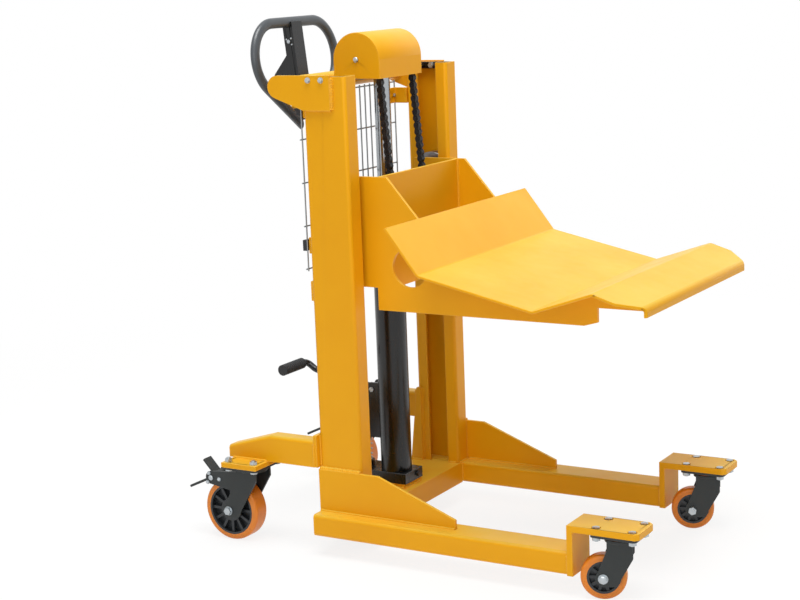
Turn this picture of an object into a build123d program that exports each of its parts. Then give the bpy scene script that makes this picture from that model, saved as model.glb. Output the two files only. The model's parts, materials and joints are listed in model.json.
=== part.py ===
from build123d import *
import os
from math import asin, atan2, cos, hypot, pi, radians, sin, sqrt

# Roll lifter: straddle legs, a channel mast, a hydraulic ram with chains, and a bent roll cradle.
# Millimetres. +X points to the front, +Y to the left side and +Z up from the floor.
# Places along X count from the mast's middle plane. save() moves them by mast_x, so that the
# origin lies on the floor under the middle of the whole machine.

# Fits
running_fit = 0.05
bolt_play = 0.25
loose_gap = 0.3
cut_overrun = 1

# Legs and base
legs_outer_width = 602
leg_width = 82
leg_height = 52
leg_length = 649
leg_clearance = 48
leg_wall = 4
leg_corner_r = 8
leg_behind_mast = 54
crossbar_ahead = 59
crossbar_behind = 71
crossbar_wall = 4

# Mast
mast_width = 514
column_depth = 112
column_width = 51
column_lip = 30
column_wall = 6
column_bend_r = 8
column_height = 1009
crossbeam_bottom = 596
crossbeam_height = 46
crossbeam_thickness = 8
stop_bar_height = 16
stop_bar_thickness = 12
stop_bar_play = 1

# Gussets and braces
gusset_thickness = 8
gusset_height = 100
gusset_behind = 57
gusset_flat_ahead = 103
gusset_ahead = 303
gusset_toe = 22
brace_height = 190
brace_top = 12
brace_foot = 34
brace_thickness = 8

# Rear arms
arm_width = 42
arm_inset = 11
arm_wall = 5
arm_corner_r = 8
arm_rise = 64
arm_tail_rise = 29
arm_knee_behind = 188
arm_tail_past_axis = 60
arm_plate_thickness = 9
arm_plate_above = 13

# Front caster brackets
bracket_width = 90
bracket_upright = 13.5
bracket_length = 165
bracket_top = 15
bracket_corner = 8

# Lugs, cross tube and handle
lug_thickness = 7.5
lug_front = 20
lug_flat = 73
lug_depth = 78
lug_tip_r = 26
tube_behind = 120
tube_below_top = 23
tube_r = 20
tube_wall = 4
handle_behind = 249
handle_top = 1221.5
handle_tilt = 6.2
grip_height = 25
grip_depth = 20
loop_top_half = 87
loop_corner_r = 84
limb_slope = 38
spine_width = 44
spine_depth = 28
spine_wall = 5
spine_length = 235
spine_closed_top = 20
guard_plate_start = 78
guard_plate_reach = 42
guard_plate_end = 200
tongue_thickness = 8
tongue_height = 70
lever_pin_r = 4
lever_pin_head_r = 5
lever_pin_below = 46
lever_reach = 24
lever_thickness = 8
lever_width = 28
lever_tail = 40
lever_boss_r = 8

# Wire guard
guard_behind = 92
guard_width = 420
guard_below_top = 47
guard_wire = 4
guard_columns = 18
guard_rows = 4
guard_row_pitch = 100
guard_bracket_inset = 1
guard_bracket_height = 38
guard_bracket_thickness = 4
guard_foot = 46
guard_column_foot = 26
guard_upper_below_top = 98
guard_lower_below_top = 411
guard_clip = 25
guard_clip_depth = 10
guard_bolt_r = 3
guard_bolt_head_r = 4.5

# Casters: wheel, trail, angle that the fork stands at, fork outline, height and bolt spacing
front_wheel_d = 100
front_wheel_w = 32
front_trail = 36
front_swivel = 19
front_shoulder = 34
front_toe = 21
front_caster_height = 147
front_axis_ahead = 701
front_bolt_x = 83
front_bolt_y = 66
rear_wheel_d = 150
rear_wheel_w = 46
rear_trail = 56
rear_swivel = 0
rear_shoulder = 18
rear_toe = 17
rear_caster_height = 192
rear_axis_behind = 247
rear_bolt_x = 72
rear_bolt_y = 96
rear_plate_x = 100
rear_plate_y = 122
rear_plate_thickness = 12
caster_plate_thickness = 5
caster_bolt_r = 5
caster_axle_r = 6
caster_axle_head = 12
caster_plate_margin = 4
kingpin_r = 8
seal_height = 6
seal_r = 30
seal_bore_r = 20
fork_head = 6
fork_head_half = 28
fork_cup_r = 34
fork_leg = 5
fork_side_gap = 4
fork_foot_r = 17
tyre_thickness = 14
hub_rim = 5
hub_rib = 6.5
hub_core = 0.45
front_ribs = 10
rear_ribs = 12
brake_pin_r = 4
brake_pin_behind = 103
brake_pin_height = 152
brake_cheek_r = 16
brake_prong_width = 28
brake_prong_thickness = 6
brake_upper_reach = 34
brake_upper_rise = 37
brake_lower_reach = 79
brake_lower_drop = 36
brake_side_gap = 1.5

# Ram, chains and pulleys
ram_behind = 3.5
barrel_r = 37.5
barrel_wall = 6
barrel_top = 815
gland_r = 41
gland_height = 27
ram_r = 19
piston_height = 30
ram_down = 220
ram_up = 100
piston_spare = 10
pulley_behind = 11
pulley_height = 1136
pulley_axle_r = 12.5
chain_half_spread = 74
chain_width = 15
chain_depth = 15
chain_r = 44
pulley_flange_r = 47
pulley_flange = 2.5
crosshead_half_width = 60
crosshead_half_depth = 30
crosshead_below_axle = 40
crosshead_above_axle = 30
cover_half_width = 97
cover_r = 62
cover_sheet = 4
cover_drop = 44
axle_bolt_r = 4
axle_head_r = 6.5
axle_head = 5
rear_anchor_height = 26
anchor_width = 18
front_anchor_ahead = 69
front_anchor_top = 705
front_anchor_height = 30

# Carriage and cradle
carriage_width = 380
carriage_plate = 8
carriage_top = 879
carriage_back_reach = 28
carriage_bottom = 625
carriage_step_ahead = 80
carriage_arm_bottom = 573
back_plate_ahead = 85
back_plate_bottom = 615
side_top_ahead = 111.6
side_toe_ahead = 593
side_nose_ahead = 625
side_nose_bottom = 582
side_web_bottom = 614
side_web_setback = 30
side_hole_ahead = 166
side_hole_z = 675
side_hole_r = 45
rib_ahead = 400
rib_bottom = 585
cradle_width = 680
cradle_sheet = 6
cradle_start_ahead = 196
cradle_start_z = 790
wing_run = 77
wing_drop = 100
floor_run = 271
floor_drop = 60.5
ramp_run = 135.5
ramp_rise = 45.5
nose_run = 101.5
nose_drop = 32
lip_drop = 21
cradle_bend_r = 8
cradle_corner = 50
roller_r = 49
roller_width = 28
roller_axle_r = 12.5
roller_collar_r = 20
roller_collar = 25
roller_washer_r = 17
roller_washer = 4
upper_roller_z = 841
lower_roller_z = 662

# Pump, spring and pedal
pad_thickness = 10
pad_ahead = 40
block_ahead = 43
block_behind = 110
block_right = 38
block_left = 44
block_height = 26
block_bevel = 1.5
plug_r = 7
plug_length = 6
pump_behind = 88
pump_boss_r = 20
pump_boss = 14
plunger_r = 8
plunger_in_bore = 20
plunger_stroke = 12
bore_spare = 2
plunger_in_cap = 8
cap_r = 16
spring_height = 57
spring_mean_r = 13
spring_wire = 4
spring_turns = 5
pedal_pin_behind = 54
pedal_pin_height = 335
pedal_pin_r = 6
cheek_half_gap = 14
cheek = 6
cheek_below = 120
cheek_above = 17
cheek_behind = 12
pedal_boss_r = 13
pedal_side_play = 1
heel_r = 10
heel_below_pin = 1
pedal_bar_r = 8
pedal_behind = 254
pedal_height = 384
pedal_knee_behind = 228
pedal_knee_height = 366
pedal_length = 104
pedal_bend_r = 14
pedal_knee_r = 30
pedal_grip_r = 13.5
pedal_grip_length = 86

# Fasteners
bolt_r = 4
frame_bolt_head_r = 6.5
frame_nut_r = 7.5
bolt_head_r = 10
bolt_head = 6
nut_r = 9.5
nut_height = 8
stop_bolt_behind = 19
stop_bolt_pitch = 34
stop_bolt_below_top = 7.5
countersink_depth = 4
bolt_end = 2

# Worked-out places
leg_outer = legs_outer_width / 2
leg_inner = leg_outer - leg_width
leg_middle = (leg_outer + leg_inner) / 2
leg_top = leg_clearance + leg_height
leg_rear = -leg_behind_mast
leg_front = leg_rear + leg_length
column_outer = mast_width / 2
column_tip = column_outer - column_width
column_back = -column_depth / 2
column_face = column_depth / 2
column_top = leg_top + column_height
stop_bolt_places = (-stop_bolt_behind - stop_bolt_pitch / 2, stop_bolt_pitch / 2 - stop_bolt_behind)
tube_x = -tube_behind
tube_z = column_top - tube_below_top
front_axis = (front_axis_ahead, leg_middle)
rear_axis = (-rear_axis_behind, leg_middle)
rear_plate_top = rear_caster_height + rear_plate_thickness
arm_middle = leg_middle - arm_inset
ram_x = -ram_behind
pulley_x = -pulley_behind
pump_x = -pump_behind
pedal_pin_x = -pedal_pin_behind
block_bottom = leg_top + pad_thickness
block_top = block_bottom + block_height
boss_top = block_top + pump_boss
cap_bottom = boss_top + spring_height
heel_z = pedal_pin_height - heel_below_pin
cap_top = heel_z - heel_r - loose_gap
side_outer = carriage_width / 2
side_inner = side_outer - carriage_plate
crosshead_bottom = pulley_height - crosshead_below_axle
cradle_points = [(cradle_start_ahead, cradle_start_z)]
for run, rise in ((wing_run, -wing_drop), (floor_run, -floor_drop), (ramp_run, ramp_rise),
                  (nose_run, -nose_drop)):
    last_x, last_z = cradle_points[-1]
    cradle_points.append((last_x + run, last_z + rise))
cradle_points.append((cradle_points[-1][0], cradle_points[-1][1] - lip_drop))
front_reach = cradle_points[-1][0]
prong_slope = brake_lower_drop / hypot(brake_lower_reach, brake_lower_drop)
rear_reach = rear_axis_behind + brake_pin_behind + brake_lower_reach + prong_slope * brake_prong_thickness / 2
mast_x = (rear_reach - front_reach) / 2
tilt = radians(handle_tilt)
handle_plane = Plane(origin=(-handle_behind, 0, handle_top), x_dir=(0, 1, 0), z_dir=(cos(tilt), 0, sin(tilt)))


def block(x0, x1, y0, y1, z0, z1):
    """Box between three pairs of faces."""
    return Pos((x0 + x1) / 2, (y0 + y1) / 2, (z0 + z1) / 2) * Box(x1 - x0, y1 - y0, z1 - z0)


def plate_y(points, y0, y1):
    """Plate with an outline of (x, z) points, between two Y faces."""
    outline = Wire.make_polygon([(x, y0, z) for x, z in points])
    return extrude(Face(outline), amount=y1 - y0, dir=(0, 1, 0))


def plate_s(points, s0, s1):
    """Plate in the handle's own axes, with an outline of (n, t) points, between two side faces."""
    outline = Wire.make_polygon([(s0, t, n) for n, t in points])
    return extrude(Face(outline), amount=s1 - s0, dir=(1, 0, 0))


def pin_y(r, x, z, y0, y1):
    """Round bar along Y."""
    return Pos(x, (y0 + y1) / 2, z) * Rot(90, 0, 0) * Cylinder(r, y1 - y0)


def pin_x(r, y, z, x0, x1):
    """Round bar along X."""
    return Pos((x0 + x1) / 2, y, z) * Rot(0, 90, 0) * Cylinder(r, x1 - x0)


def pin_z(r, x, y, z0, z1):
    """Round bar along Z."""
    return Pos(x, y, (z0 + z1) / 2) * Cylinder(r, z1 - z0)


def hex_y(r, x, z, y0, y1):
    """Six-sided bar along Y."""
    return Pos(x, y0, z) * Rot(-90, 0, 0) * extrude(RegularPolygon(r, 6), amount=y1 - y0)


def hex_z(r, x, y, z0, z1):
    """Six-sided bar along Z."""
    return Pos(x, y, z0) * extrude(RegularPolygon(r, 6), amount=z1 - z0)


def both_sides(piece):
    """A piece of the left side and its mirror image on the right side."""
    return [piece, mirror(piece, about=Plane.XZ)]


def save(name, *pieces):
    """Writes one node in the machine's own frame."""
    solids = [solid for piece in pieces for solid in (Pos(mast_x, 0, 0) * piece).solids()]
    node = solids[0] if len(solids) == 1 else Compound(solids)
    export_step(node, f"parts/{name}.step")


def tangent_point(px, pz, cx, cz, r):
    """Point where a line from (px, pz) touches the circle on its lower side."""
    reach = hypot(cx - px, cz - pz)
    turn = atan2(cz - pz, cx - px) + asin(r / reach)
    run = sqrt(reach * reach - r * r)
    return px + run * cos(turn), pz + run * sin(turn)


def strip(points, thickness):
    """Lower line of a bent sheet whose upper line is given, mitred at the bends."""
    normals = []
    for (x0, z0), (x1, z1) in zip(points, points[1:]):
        length = hypot(x1 - x0, z1 - z0)
        normals.append(((z1 - z0) / length, (x0 - x1) / length))
    lower = []
    for index, (x, z) in enumerate(points):
        n0 = normals[max(index - 1, 0)]
        n1 = normals[min(index, len(normals) - 1)]
        scale = thickness / (1 + n0[0] * n1[0] + n0[1] * n1[1])
        lower.append((x + (n0[0] + n1[0]) * scale, z + (n0[1] + n1[1]) * scale))
    return lower


def line_height(points, x):
    """Height of a broken line at a place along X."""
    for (x0, z0), (x1, z1) in zip(points, points[1:]):
        if x0 <= x <= x1:
            return z0 + (z1 - z0) * (x - x0) / (x1 - x0)
    return points[-1][1]


def leg():
    """Left leg: a rounded tube, closed at the rear, that the bracket's upright closes in front."""
    outer = block(leg_rear, leg_front, leg_inner, leg_outer, leg_clearance, leg_top)
    outer = fillet(outer.edges().filter_by(Axis.X), leg_corner_r)
    hollow = block(leg_rear + leg_wall, leg_front, leg_inner + leg_wall, leg_outer - leg_wall,
                   leg_clearance + leg_wall, leg_top - leg_wall)
    return outer - fillet(hollow.edges().filter_by(Axis.X), leg_corner_r - leg_wall)


def base_crossbar():
    """Flat box tube between the legs, under the columns and the cylinder."""
    outer = block(-crossbar_behind, crossbar_ahead, -leg_inner, leg_inner, leg_clearance, leg_top)
    return outer - block(crossbar_wall - crossbar_behind, crossbar_ahead - crossbar_wall,
                         -leg_inner, leg_inner, leg_clearance + crossbar_wall, leg_top - crossbar_wall)


def column():
    """Left column: a lipped channel bent from sheet, web outwards."""
    outer = block(column_back, column_face, column_tip, column_outer, leg_top, column_top)
    outer = fillet(outer.edges().filter_by(Axis.Z), column_bend_r)
    wall = column_outer - column_wall
    inner = block(column_back + column_wall, column_face - column_wall, column_tip + column_wall, wall,
                  leg_top, column_top)
    inner = fillet(inner.edges().filter_by(Axis.Z), column_bend_r - column_wall)
    slot = column_face - column_lip
    channel = outer - inner
    channel -= block(-slot, slot, column_tip, column_tip + column_wall, leg_top, column_top)
    for x in stop_bolt_places:
        channel -= pin_y(bolt_r + bolt_play, x, column_top - stop_bolt_below_top, wall, column_outer)
    return channel


def gusset():
    """Left outer gusset on the leg, against the column's web."""
    points = [(-gusset_behind, leg_top), (-gusset_behind, leg_top + gusset_height),
              (gusset_flat_ahead, leg_top + gusset_height), (gusset_ahead, leg_top + gusset_toe),
              (gusset_ahead, leg_top)]
    return plate_y(points, column_outer, column_outer + gusset_thickness)


def brace():
    """Left narrow brace on the crossbar, against the column's rear lip."""
    front = column_back + brace_top
    points = [(front, leg_top), (front, leg_top + brace_height), (column_back, leg_top + brace_height),
              (front - brace_foot, leg_top)]
    return plate_y(points, column_tip - brace_thickness, column_tip)


def front_bracket():
    """Left front bracket: upright on the leg's end and top plate with four counterbored holes."""
    y0 = leg_middle - bracket_width / 2
    y1 = leg_middle + bracket_width / 2
    top = front_caster_height + bracket_top
    piece = block(leg_front, leg_front + bracket_upright, y0, y1, leg_clearance, front_caster_height)
    plate = block(leg_front, leg_front + bracket_length, y0, y1, front_caster_height, top)
    piece += chamfer(plate.edges().filter_by(Axis.Z).group_by(Axis.X)[-1], bracket_corner)
    for x, y in bolt_places(front_axis, front_bolt_x, front_bolt_y):
        piece -= pin_z(caster_bolt_r + bolt_play, x, y, front_caster_height, top)
        piece -= pin_z(bolt_head_r + bolt_play, x, y, top - countersink_depth, top)
    return piece


def bolt_places(axis, spread_x, spread_y):
    """Four bolt places round a caster's swivel axis."""
    return [(axis[0] + i * spread_x / 2, axis[1] + j * spread_y / 2) for i in (-1, 1) for j in (-1, 1)]


arm_front = column_back - arm_plate_thickness
arm_tail = -rear_axis_behind - arm_tail_past_axis
arm_points = [(arm_front, rear_plate_top), (arm_front, rear_plate_top + arm_rise),
              (-arm_knee_behind, rear_plate_top + arm_rise), (arm_tail, rear_plate_top + arm_tail_rise),
              (arm_tail, rear_plate_top)]


def rear_arm():
    """Left rear arm: a bent box that falls towards the tail, open against its attachment plate."""
    half = arm_width / 2
    outer = plate_y(arm_points, arm_middle - half, arm_middle + half)
    edges = outer.edges().filter_by(Axis.Y, reverse=True).filter_by(Axis.Z, reverse=True)
    outer = fillet([edge for edge in edges if edge.center().Z > rear_plate_top + arm_wall], arm_corner_r)
    low = rear_plate_top + arm_wall
    fall = (arm_rise - arm_tail_rise) / (arm_knee_behind + arm_tail)
    inner_tail = arm_tail + arm_wall
    inner = [(arm_front, low), (arm_front, rear_plate_top + arm_rise - arm_wall),
             (-arm_knee_behind, rear_plate_top + arm_rise - arm_wall),
             (inner_tail, rear_plate_top + arm_tail_rise - arm_wall - fall * arm_wall), (inner_tail, low)]
    return outer - plate_y(inner, arm_middle - half + arm_wall, arm_middle + half - arm_wall)


def arm_plate():
    """Left attachment plate between the rear arm and the column."""
    return block(arm_front, column_back, column_tip, arm_middle + arm_width / 2, rear_plate_top,
                 rear_plate_top + arm_rise + arm_plate_above)


def rear_plate():
    """Left plate under the rear arm, for the caster's bolts."""
    x, y = rear_axis
    piece = block(x - rear_plate_x / 2, x + rear_plate_x / 2, y - rear_plate_y / 2, y + rear_plate_y / 2,
                  rear_caster_height, rear_plate_top)
    for bolt_x, bolt_y in bolt_places(rear_axis, rear_bolt_x, rear_bolt_y):
        piece -= pin_z(caster_bolt_r + bolt_play, bolt_x, bolt_y, rear_caster_height, rear_plate_top)
    return piece


def lug():
    """Left lug on the column's outer face, rounded about the cross tube."""
    top = tube_z + lug_tip_r
    low = top - lug_depth
    heel = (lug_front - lug_flat, low)
    touch = tangent_point(heel[0], heel[1], tube_x, tube_z, lug_tip_r)
    points = [(lug_front, top), (lug_front, low), heel, touch, (tube_x, tube_z), (tube_x, top)]
    piece = plate_y(points, column_outer, column_outer + lug_thickness)
    piece += pin_y(lug_tip_r, tube_x, tube_z, column_outer, column_outer + lug_thickness)
    for x in stop_bolt_places:
        piece -= pin_y(bolt_r + bolt_play, x, column_top - stop_bolt_below_top,
                       column_outer, column_outer + lug_thickness)
    return piece


def stop_bar():
    """Left stop bar inside the column's top, for the upper rollers."""
    half = column_depth / 2 - column_wall - stop_bar_play
    wall = column_outer - column_wall
    low = column_top - stop_bar_height
    flat = column_depth / 2 - column_bend_r
    nib = wall - stop_bar_thickness * 0.8
    outline = [(-half, wall - stop_bar_thickness), (half, wall - stop_bar_thickness),
               (half, nib), (flat, wall), (-flat, wall), (-half, nib)]
    face = Face(Wire.make_polygon([(x, y, low) for x, y in outline]))
    bar = extrude(face, amount=stop_bar_height, dir=(0, 0, 1))
    for x in stop_bolt_places:
        bar -= pin_y(bolt_r + bolt_play, x, column_top - stop_bolt_below_top, column_tip, wall)
    return bar


def bolt_y(x, z, grip_in, grip_out):
    """Bolt along Y with a domed head outside and a nut inside."""
    piece = pin_y(bolt_r, x, z, grip_in - nut_height, grip_out + bolt_head / 2)
    head = pin_y(frame_bolt_head_r, x, z, grip_out, grip_out + bolt_head)
    head = fillet(head.edges().group_by(Axis.Y)[-1], bolt_head * 0.6)
    return piece + head + hex_y(frame_nut_r, x, z, grip_in - nut_height, grip_in)


def guard():
    """Flat guard of crossed wires behind the mast."""
    height = guard_rows * guard_row_pitch
    middle = column_top - guard_below_top - height / 2
    pitch = guard_width / guard_columns
    sheet = Rectangle(guard_width + guard_wire, height + guard_wire)
    gaps = GridLocations(pitch, guard_row_pitch, guard_columns, guard_rows)
    sheet -= gaps * Rectangle(pitch - guard_wire, guard_row_pitch - guard_wire)
    plane = Plane(origin=(-guard_behind - guard_wire, 0, middle), x_dir=(0, 1, 0), z_dir=(1, 0, 0))
    return extrude(plane * sheet, amount=guard_wire)


guard_edge = guard_width / 2 - guard_wire / 2 - guard_bracket_inset
guard_bolt_y = guard_width / 2 - guard_width / guard_columns / 2
guard_bolt_heights = (column_top - guard_upper_below_top + guard_bracket_height / 2,
                      column_top - guard_lower_below_top + guard_bracket_height / 2)


def guard_bracket(z):
    """Left bent bracket from the column's rear face to the guard, with a foot at each end."""
    low = z - guard_bracket_height / 2
    high = z + guard_bracket_height / 2
    inner = guard_edge - guard_bracket_thickness
    piece = block(-guard_behind, column_back, inner, guard_edge, low, high)
    piece += block(column_back - guard_bracket_thickness, column_back, inner, inner + guard_column_foot,
                   low, high)
    piece += block(-guard_behind, guard_bracket_thickness - guard_behind, guard_edge - guard_foot, guard_edge,
                   low, high)
    return piece - pin_x(guard_bolt_r + bolt_play, guard_bolt_y, z, -guard_behind,
                         guard_bracket_thickness - guard_behind)


def guard_clip_piece(z):
    """Left clip behind the guard's wires."""
    back = -guard_behind - guard_wire
    piece = block(back - guard_clip_depth, back, guard_bolt_y - guard_clip / 2, guard_bolt_y + guard_clip / 2,
                  z - guard_clip / 2, z + guard_clip / 2)
    return piece - pin_x(guard_bolt_r + bolt_play, guard_bolt_y, z, back - guard_clip_depth, back)


def guard_bolt(z):
    """Left small bolt through bracket and clip."""
    back = -guard_behind - guard_wire - guard_clip_depth
    front = guard_bracket_thickness - guard_behind
    piece = pin_x(guard_bolt_r, guard_bolt_y, z, back - guard_bolt_r, front + guard_bolt_r)
    piece += pin_x(guard_bolt_head_r, guard_bolt_y, z, front, front + guard_bolt_r)
    return piece + pin_x(guard_bolt_head_r, guard_bolt_y, z, back - guard_bolt_r, back)


def handle_tube():
    """Closed grip loop: straight top, round shoulders and two limbs that meet at the spine."""
    slope = radians(limb_slope)
    centre_t = -loop_corner_r
    turn = 90 - limb_slope
    end_s = loop_top_half + loop_corner_r * cos(radians(turn))
    end_t = centre_t - loop_corner_r * sin(radians(turn))
    limb = end_s / cos(slope)
    foot_t = end_t - limb * sin(slope)
    halves = []
    for side in (-1, 1):
        half = Wire([
            Line((0, 0), (side * loop_top_half, 0)),
            CenterArc((side * loop_top_half, centre_t), loop_corner_r, 90, -side * (90 + turn)),
            Line((side * end_s, end_t), (0, foot_t)),
        ])
        plane = Plane(origin=(0, 0, 0), x_dir=(0, 1, 0), z_dir=(side, 0, 0))
        halves.append(sweep(plane * Ellipse(grip_height / 2, grip_depth / 2), path=half))
    loop = halves[0] + halves[1]
    keep_out = Pos(0, -spine_length, 0) * Box(spine_width, spine_length * 1.2, spine_depth * 2)
    return loop - keep_out


def handle_top_bar():
    """Round stretch of the grip that the spine is cut to."""
    section = Plane(origin=(-spine_width, 0, 0), x_dir=(0, 1, 0), z_dir=(1, 0, 0))
    return extrude(section * Ellipse(grip_height / 2, grip_depth / 2), amount=2 * spine_width)


def handle_spine():
    """Channel down the middle of the loop, open to the rear, with two guard plates behind."""
    half = spine_width / 2
    depth = spine_depth / 2
    channel = Pos(0, -spine_length / 2, 0) * Box(spine_width, spine_length, spine_depth)
    hollow_length = spine_length - spine_closed_top
    channel -= Pos(0, -spine_closed_top - hollow_length / 2, -spine_wall) * Box(
        spine_width - 2 * spine_wall, hollow_length, spine_depth)
    guard_foot_t = -guard_plate_start - guard_plate_reach
    points = [(-depth, -guard_plate_start), (-depth - guard_plate_reach, guard_foot_t),
              (-depth - guard_plate_reach, guard_foot_t - guard_plate_reach / 2), (-depth, -guard_plate_end)]
    channel += plate_s(points, half - spine_wall, half)
    channel += plate_s(points, -half, spine_wall - half)
    channel -= handle_top_bar()
    channel -= Pos(0, -lever_pin_below, 0) * Rot(0, 90, 0) * Cylinder(lever_pin_r + running_fit, spine_width)
    return channel


def spine_x(z):
    """Place of the spine's middle line along X at a height."""
    return -handle_behind + (handle_top - z) * sin(tilt) / cos(tilt)


tongue_top = tube_z
tongue_bolt_heights = (tongue_top - tongue_height * 0.3, tongue_top - tongue_height * 0.8)


def tongue():
    """Left plate from the cross tube to the spine's side."""
    low = tongue_top - tongue_height
    points = [(tube_x, tongue_top), (tube_x, tube_z - tube_r), (spine_x(low) + spine_depth, low),
              (spine_x(low) - spine_depth / 2, low), (spine_x(tongue_top) - spine_depth / 2, tongue_top)]
    piece = plate_y(points, spine_width / 2, spine_width / 2 + tongue_thickness)
    piece -= pin_y(tube_r, tube_x, tube_z, 0, spine_width)
    for z in tongue_bolt_heights:
        piece -= pin_y(bolt_r + bolt_play, spine_x(z), z, 0, spine_width)
    return piece


def release_lever():
    """Release lever: finger blade to the rear, eye for the link below."""
    half = lever_width / 2
    boss = Rot(0, 90, 0) * Cylinder(lever_boss_r, lever_width)
    blade = Pos(0, 0, -lever_reach / 2) * Box(lever_width, lever_thickness, lever_reach)
    blade = fillet(blade.edges().filter_by(Axis.Y).group_by(Axis.Z)[0], half * 0.7)
    tail = Pos(0, -lever_tail / 2, 0) * Box(lever_width / 2, lever_tail, lever_thickness)
    lever = boss + blade + tail
    lever -= Pos(0, -lever_tail * 0.8, 0) * Cylinder(lever_thickness / 3, lever_thickness)
    lever -= Rot(0, 90, 0) * Cylinder(lever_pin_r + running_fit, lever_width)
    return Pos(0, -lever_pin_below, 0) * lever


def lever_pin():
    """Pin through the spine and the release lever, with a head at each side."""
    pin = Rot(0, 90, 0) * Cylinder(lever_pin_r, spine_width)
    for side in (-1, 1):
        pin += Pos(side * (spine_width / 2 + lever_pin_r / 2), 0, 0) * Rot(0, 90, 0) * Cylinder(
            lever_pin_head_r, lever_pin_r)
    return Pos(0, -lever_pin_below, 0) * pin


def caster_plate(axis, height, spread_x, spread_y):
    """Caster top plate with its riveted kingpin."""
    x, y = axis
    low = height - caster_plate_thickness
    margin = 2 * bolt_head_r + caster_plate_margin
    plate = block(x - (spread_x + margin) / 2, x + (spread_x + margin) / 2, y - (spread_y + margin) / 2,
                  y + (spread_y + margin) / 2, low, height)
    plate = fillet(plate.edges().filter_by(Axis.Z), bolt_head_r)
    for bolt_x, bolt_y_place in bolt_places(axis, spread_x, spread_y):
        plate -= pin_z(caster_bolt_r + bolt_play, bolt_x, bolt_y_place, low, height)
    web_low = low - seal_height - loose_gap - fork_head
    plate += pin_z(kingpin_r, x, y, web_low - 2 * loose_gap, low)
    return plate + pin_z(kingpin_r * 1.6, x, y, web_low - 2 * loose_gap - fork_head, web_low - loose_gap)


def caster_seal(axis, height):
    """Dust ring between the top plate and the fork."""
    high = height - caster_plate_thickness
    ring = pin_z(seal_r, axis[0], axis[1], high - seal_height, high)
    return ring - pin_z(seal_bore_r, axis[0], axis[1], high - seal_height, high)


def turned(piece, axis, angle):
    """A caster piece turned about its swivel axis."""
    return Pos(axis[0], axis[1], 0) * Rot(0, 0, angle) * Pos(-axis[0], -axis[1], 0) * piece


def fork(axis, height, wheel_d, wheel_w, trail, shoulder_drop, toe, braked):
    """Pressed fork: head under the dust ring and two legs that reach back to the axle."""
    x, y = axis
    wheel_r = wheel_d / 2
    half = wheel_w / 2 + fork_side_gap + fork_leg
    head_top = height - caster_plate_thickness - seal_height - loose_gap
    head_low = head_top - fork_head
    head = block(x - fork_head_half, x + fork_head_half, y - half, y + half, head_low, head_top)
    head = fillet(head.edges().filter_by(Axis.Z), fork_leg)
    piece = head + pin_z(fork_cup_r, x, y, head_low, head_top)
    axle_x = x - trail
    toe_x = axle_x + toe
    shoulder = head_low - shoulder_drop
    points = [(x - fork_head_half, head_top), (x + fork_head_half, head_top), (x + fork_head_half, shoulder),
              (toe_x + fork_foot_r, wheel_r), (toe_x, wheel_r - fork_foot_r), (axle_x, wheel_r - fork_foot_r),
              (axle_x - fork_foot_r, wheel_r), (x - fork_head_half, head_low - fork_foot_r)]
    for side in (-1, 1):
        inner = y + side * (half - fork_leg)
        outer = y + side * half
        low, high = min(inner, outer), max(inner, outer)
        leg_plate = plate_y(points, low, high) + pin_y(fork_foot_r, axle_x, wheel_r, low, high)
        leg_plate += pin_y(fork_foot_r, toe_x, wheel_r, low, high)
        if braked:
            leg_plate += brake_cheek(x, axle_x, low, high, head_low)
        piece += leg_plate
    piece -= pin_z(kingpin_r + running_fit, x, y, head_low, head_top)
    return piece - pin_y(caster_axle_r + running_fit, x - trail, wheel_r, y - half, y + half)


def brake_cheek(x, axle_x, low, high, head_low):
    """Cheek behind a rear fork leg that carries the brake pin."""
    pin_x_place = x - brake_pin_behind
    points = [(x - fork_head_half, head_low), (pin_x_place, brake_pin_height + brake_cheek_r),
              (pin_x_place, brake_pin_height - brake_cheek_r),
              (axle_x, brake_pin_height - 1.5 * brake_cheek_r),
              (x, brake_pin_height - 1.5 * brake_cheek_r)]
    cheek_piece = plate_y(points, low, high)
    cheek_piece += pin_y(brake_cheek_r, pin_x_place, brake_pin_height, low, high)
    return cheek_piece - pin_y(brake_pin_r + running_fit, pin_x_place, brake_pin_height, low, high)


def caster_axle(axis, wheel_d, wheel_w, trail):
    """Axle bolt with its head and nut outside the fork."""
    x = axis[0] - trail
    half = wheel_w / 2 + fork_side_gap + fork_leg
    axle = pin_y(caster_axle_r, x, wheel_d / 2, axis[1] - half, axis[1] + half)
    axle += hex_y(bolt_head_r, x, wheel_d / 2, axis[1] + half, axis[1] + half + caster_axle_head)
    return axle + hex_y(bolt_head_r, x, wheel_d / 2, axis[1] - half - caster_axle_head, axis[1] - half)


def brake_pin(axis, wheel_w):
    """Pin of the brake pedal, with small heads outside the cheeks."""
    x = axis[0] - brake_pin_behind
    half = wheel_w / 2 + fork_side_gap + fork_leg
    pin = pin_y(brake_pin_r, x, brake_pin_height, axis[1] - half, axis[1] + half)
    for y in (axis[1] - half - brake_pin_r / 2, axis[1] + half + brake_pin_r / 2):
        pin += pin_y(brake_pin_r * 1.6, x, brake_pin_height, y - brake_pin_r / 2, y + brake_pin_r / 2)
    return pin


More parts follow.
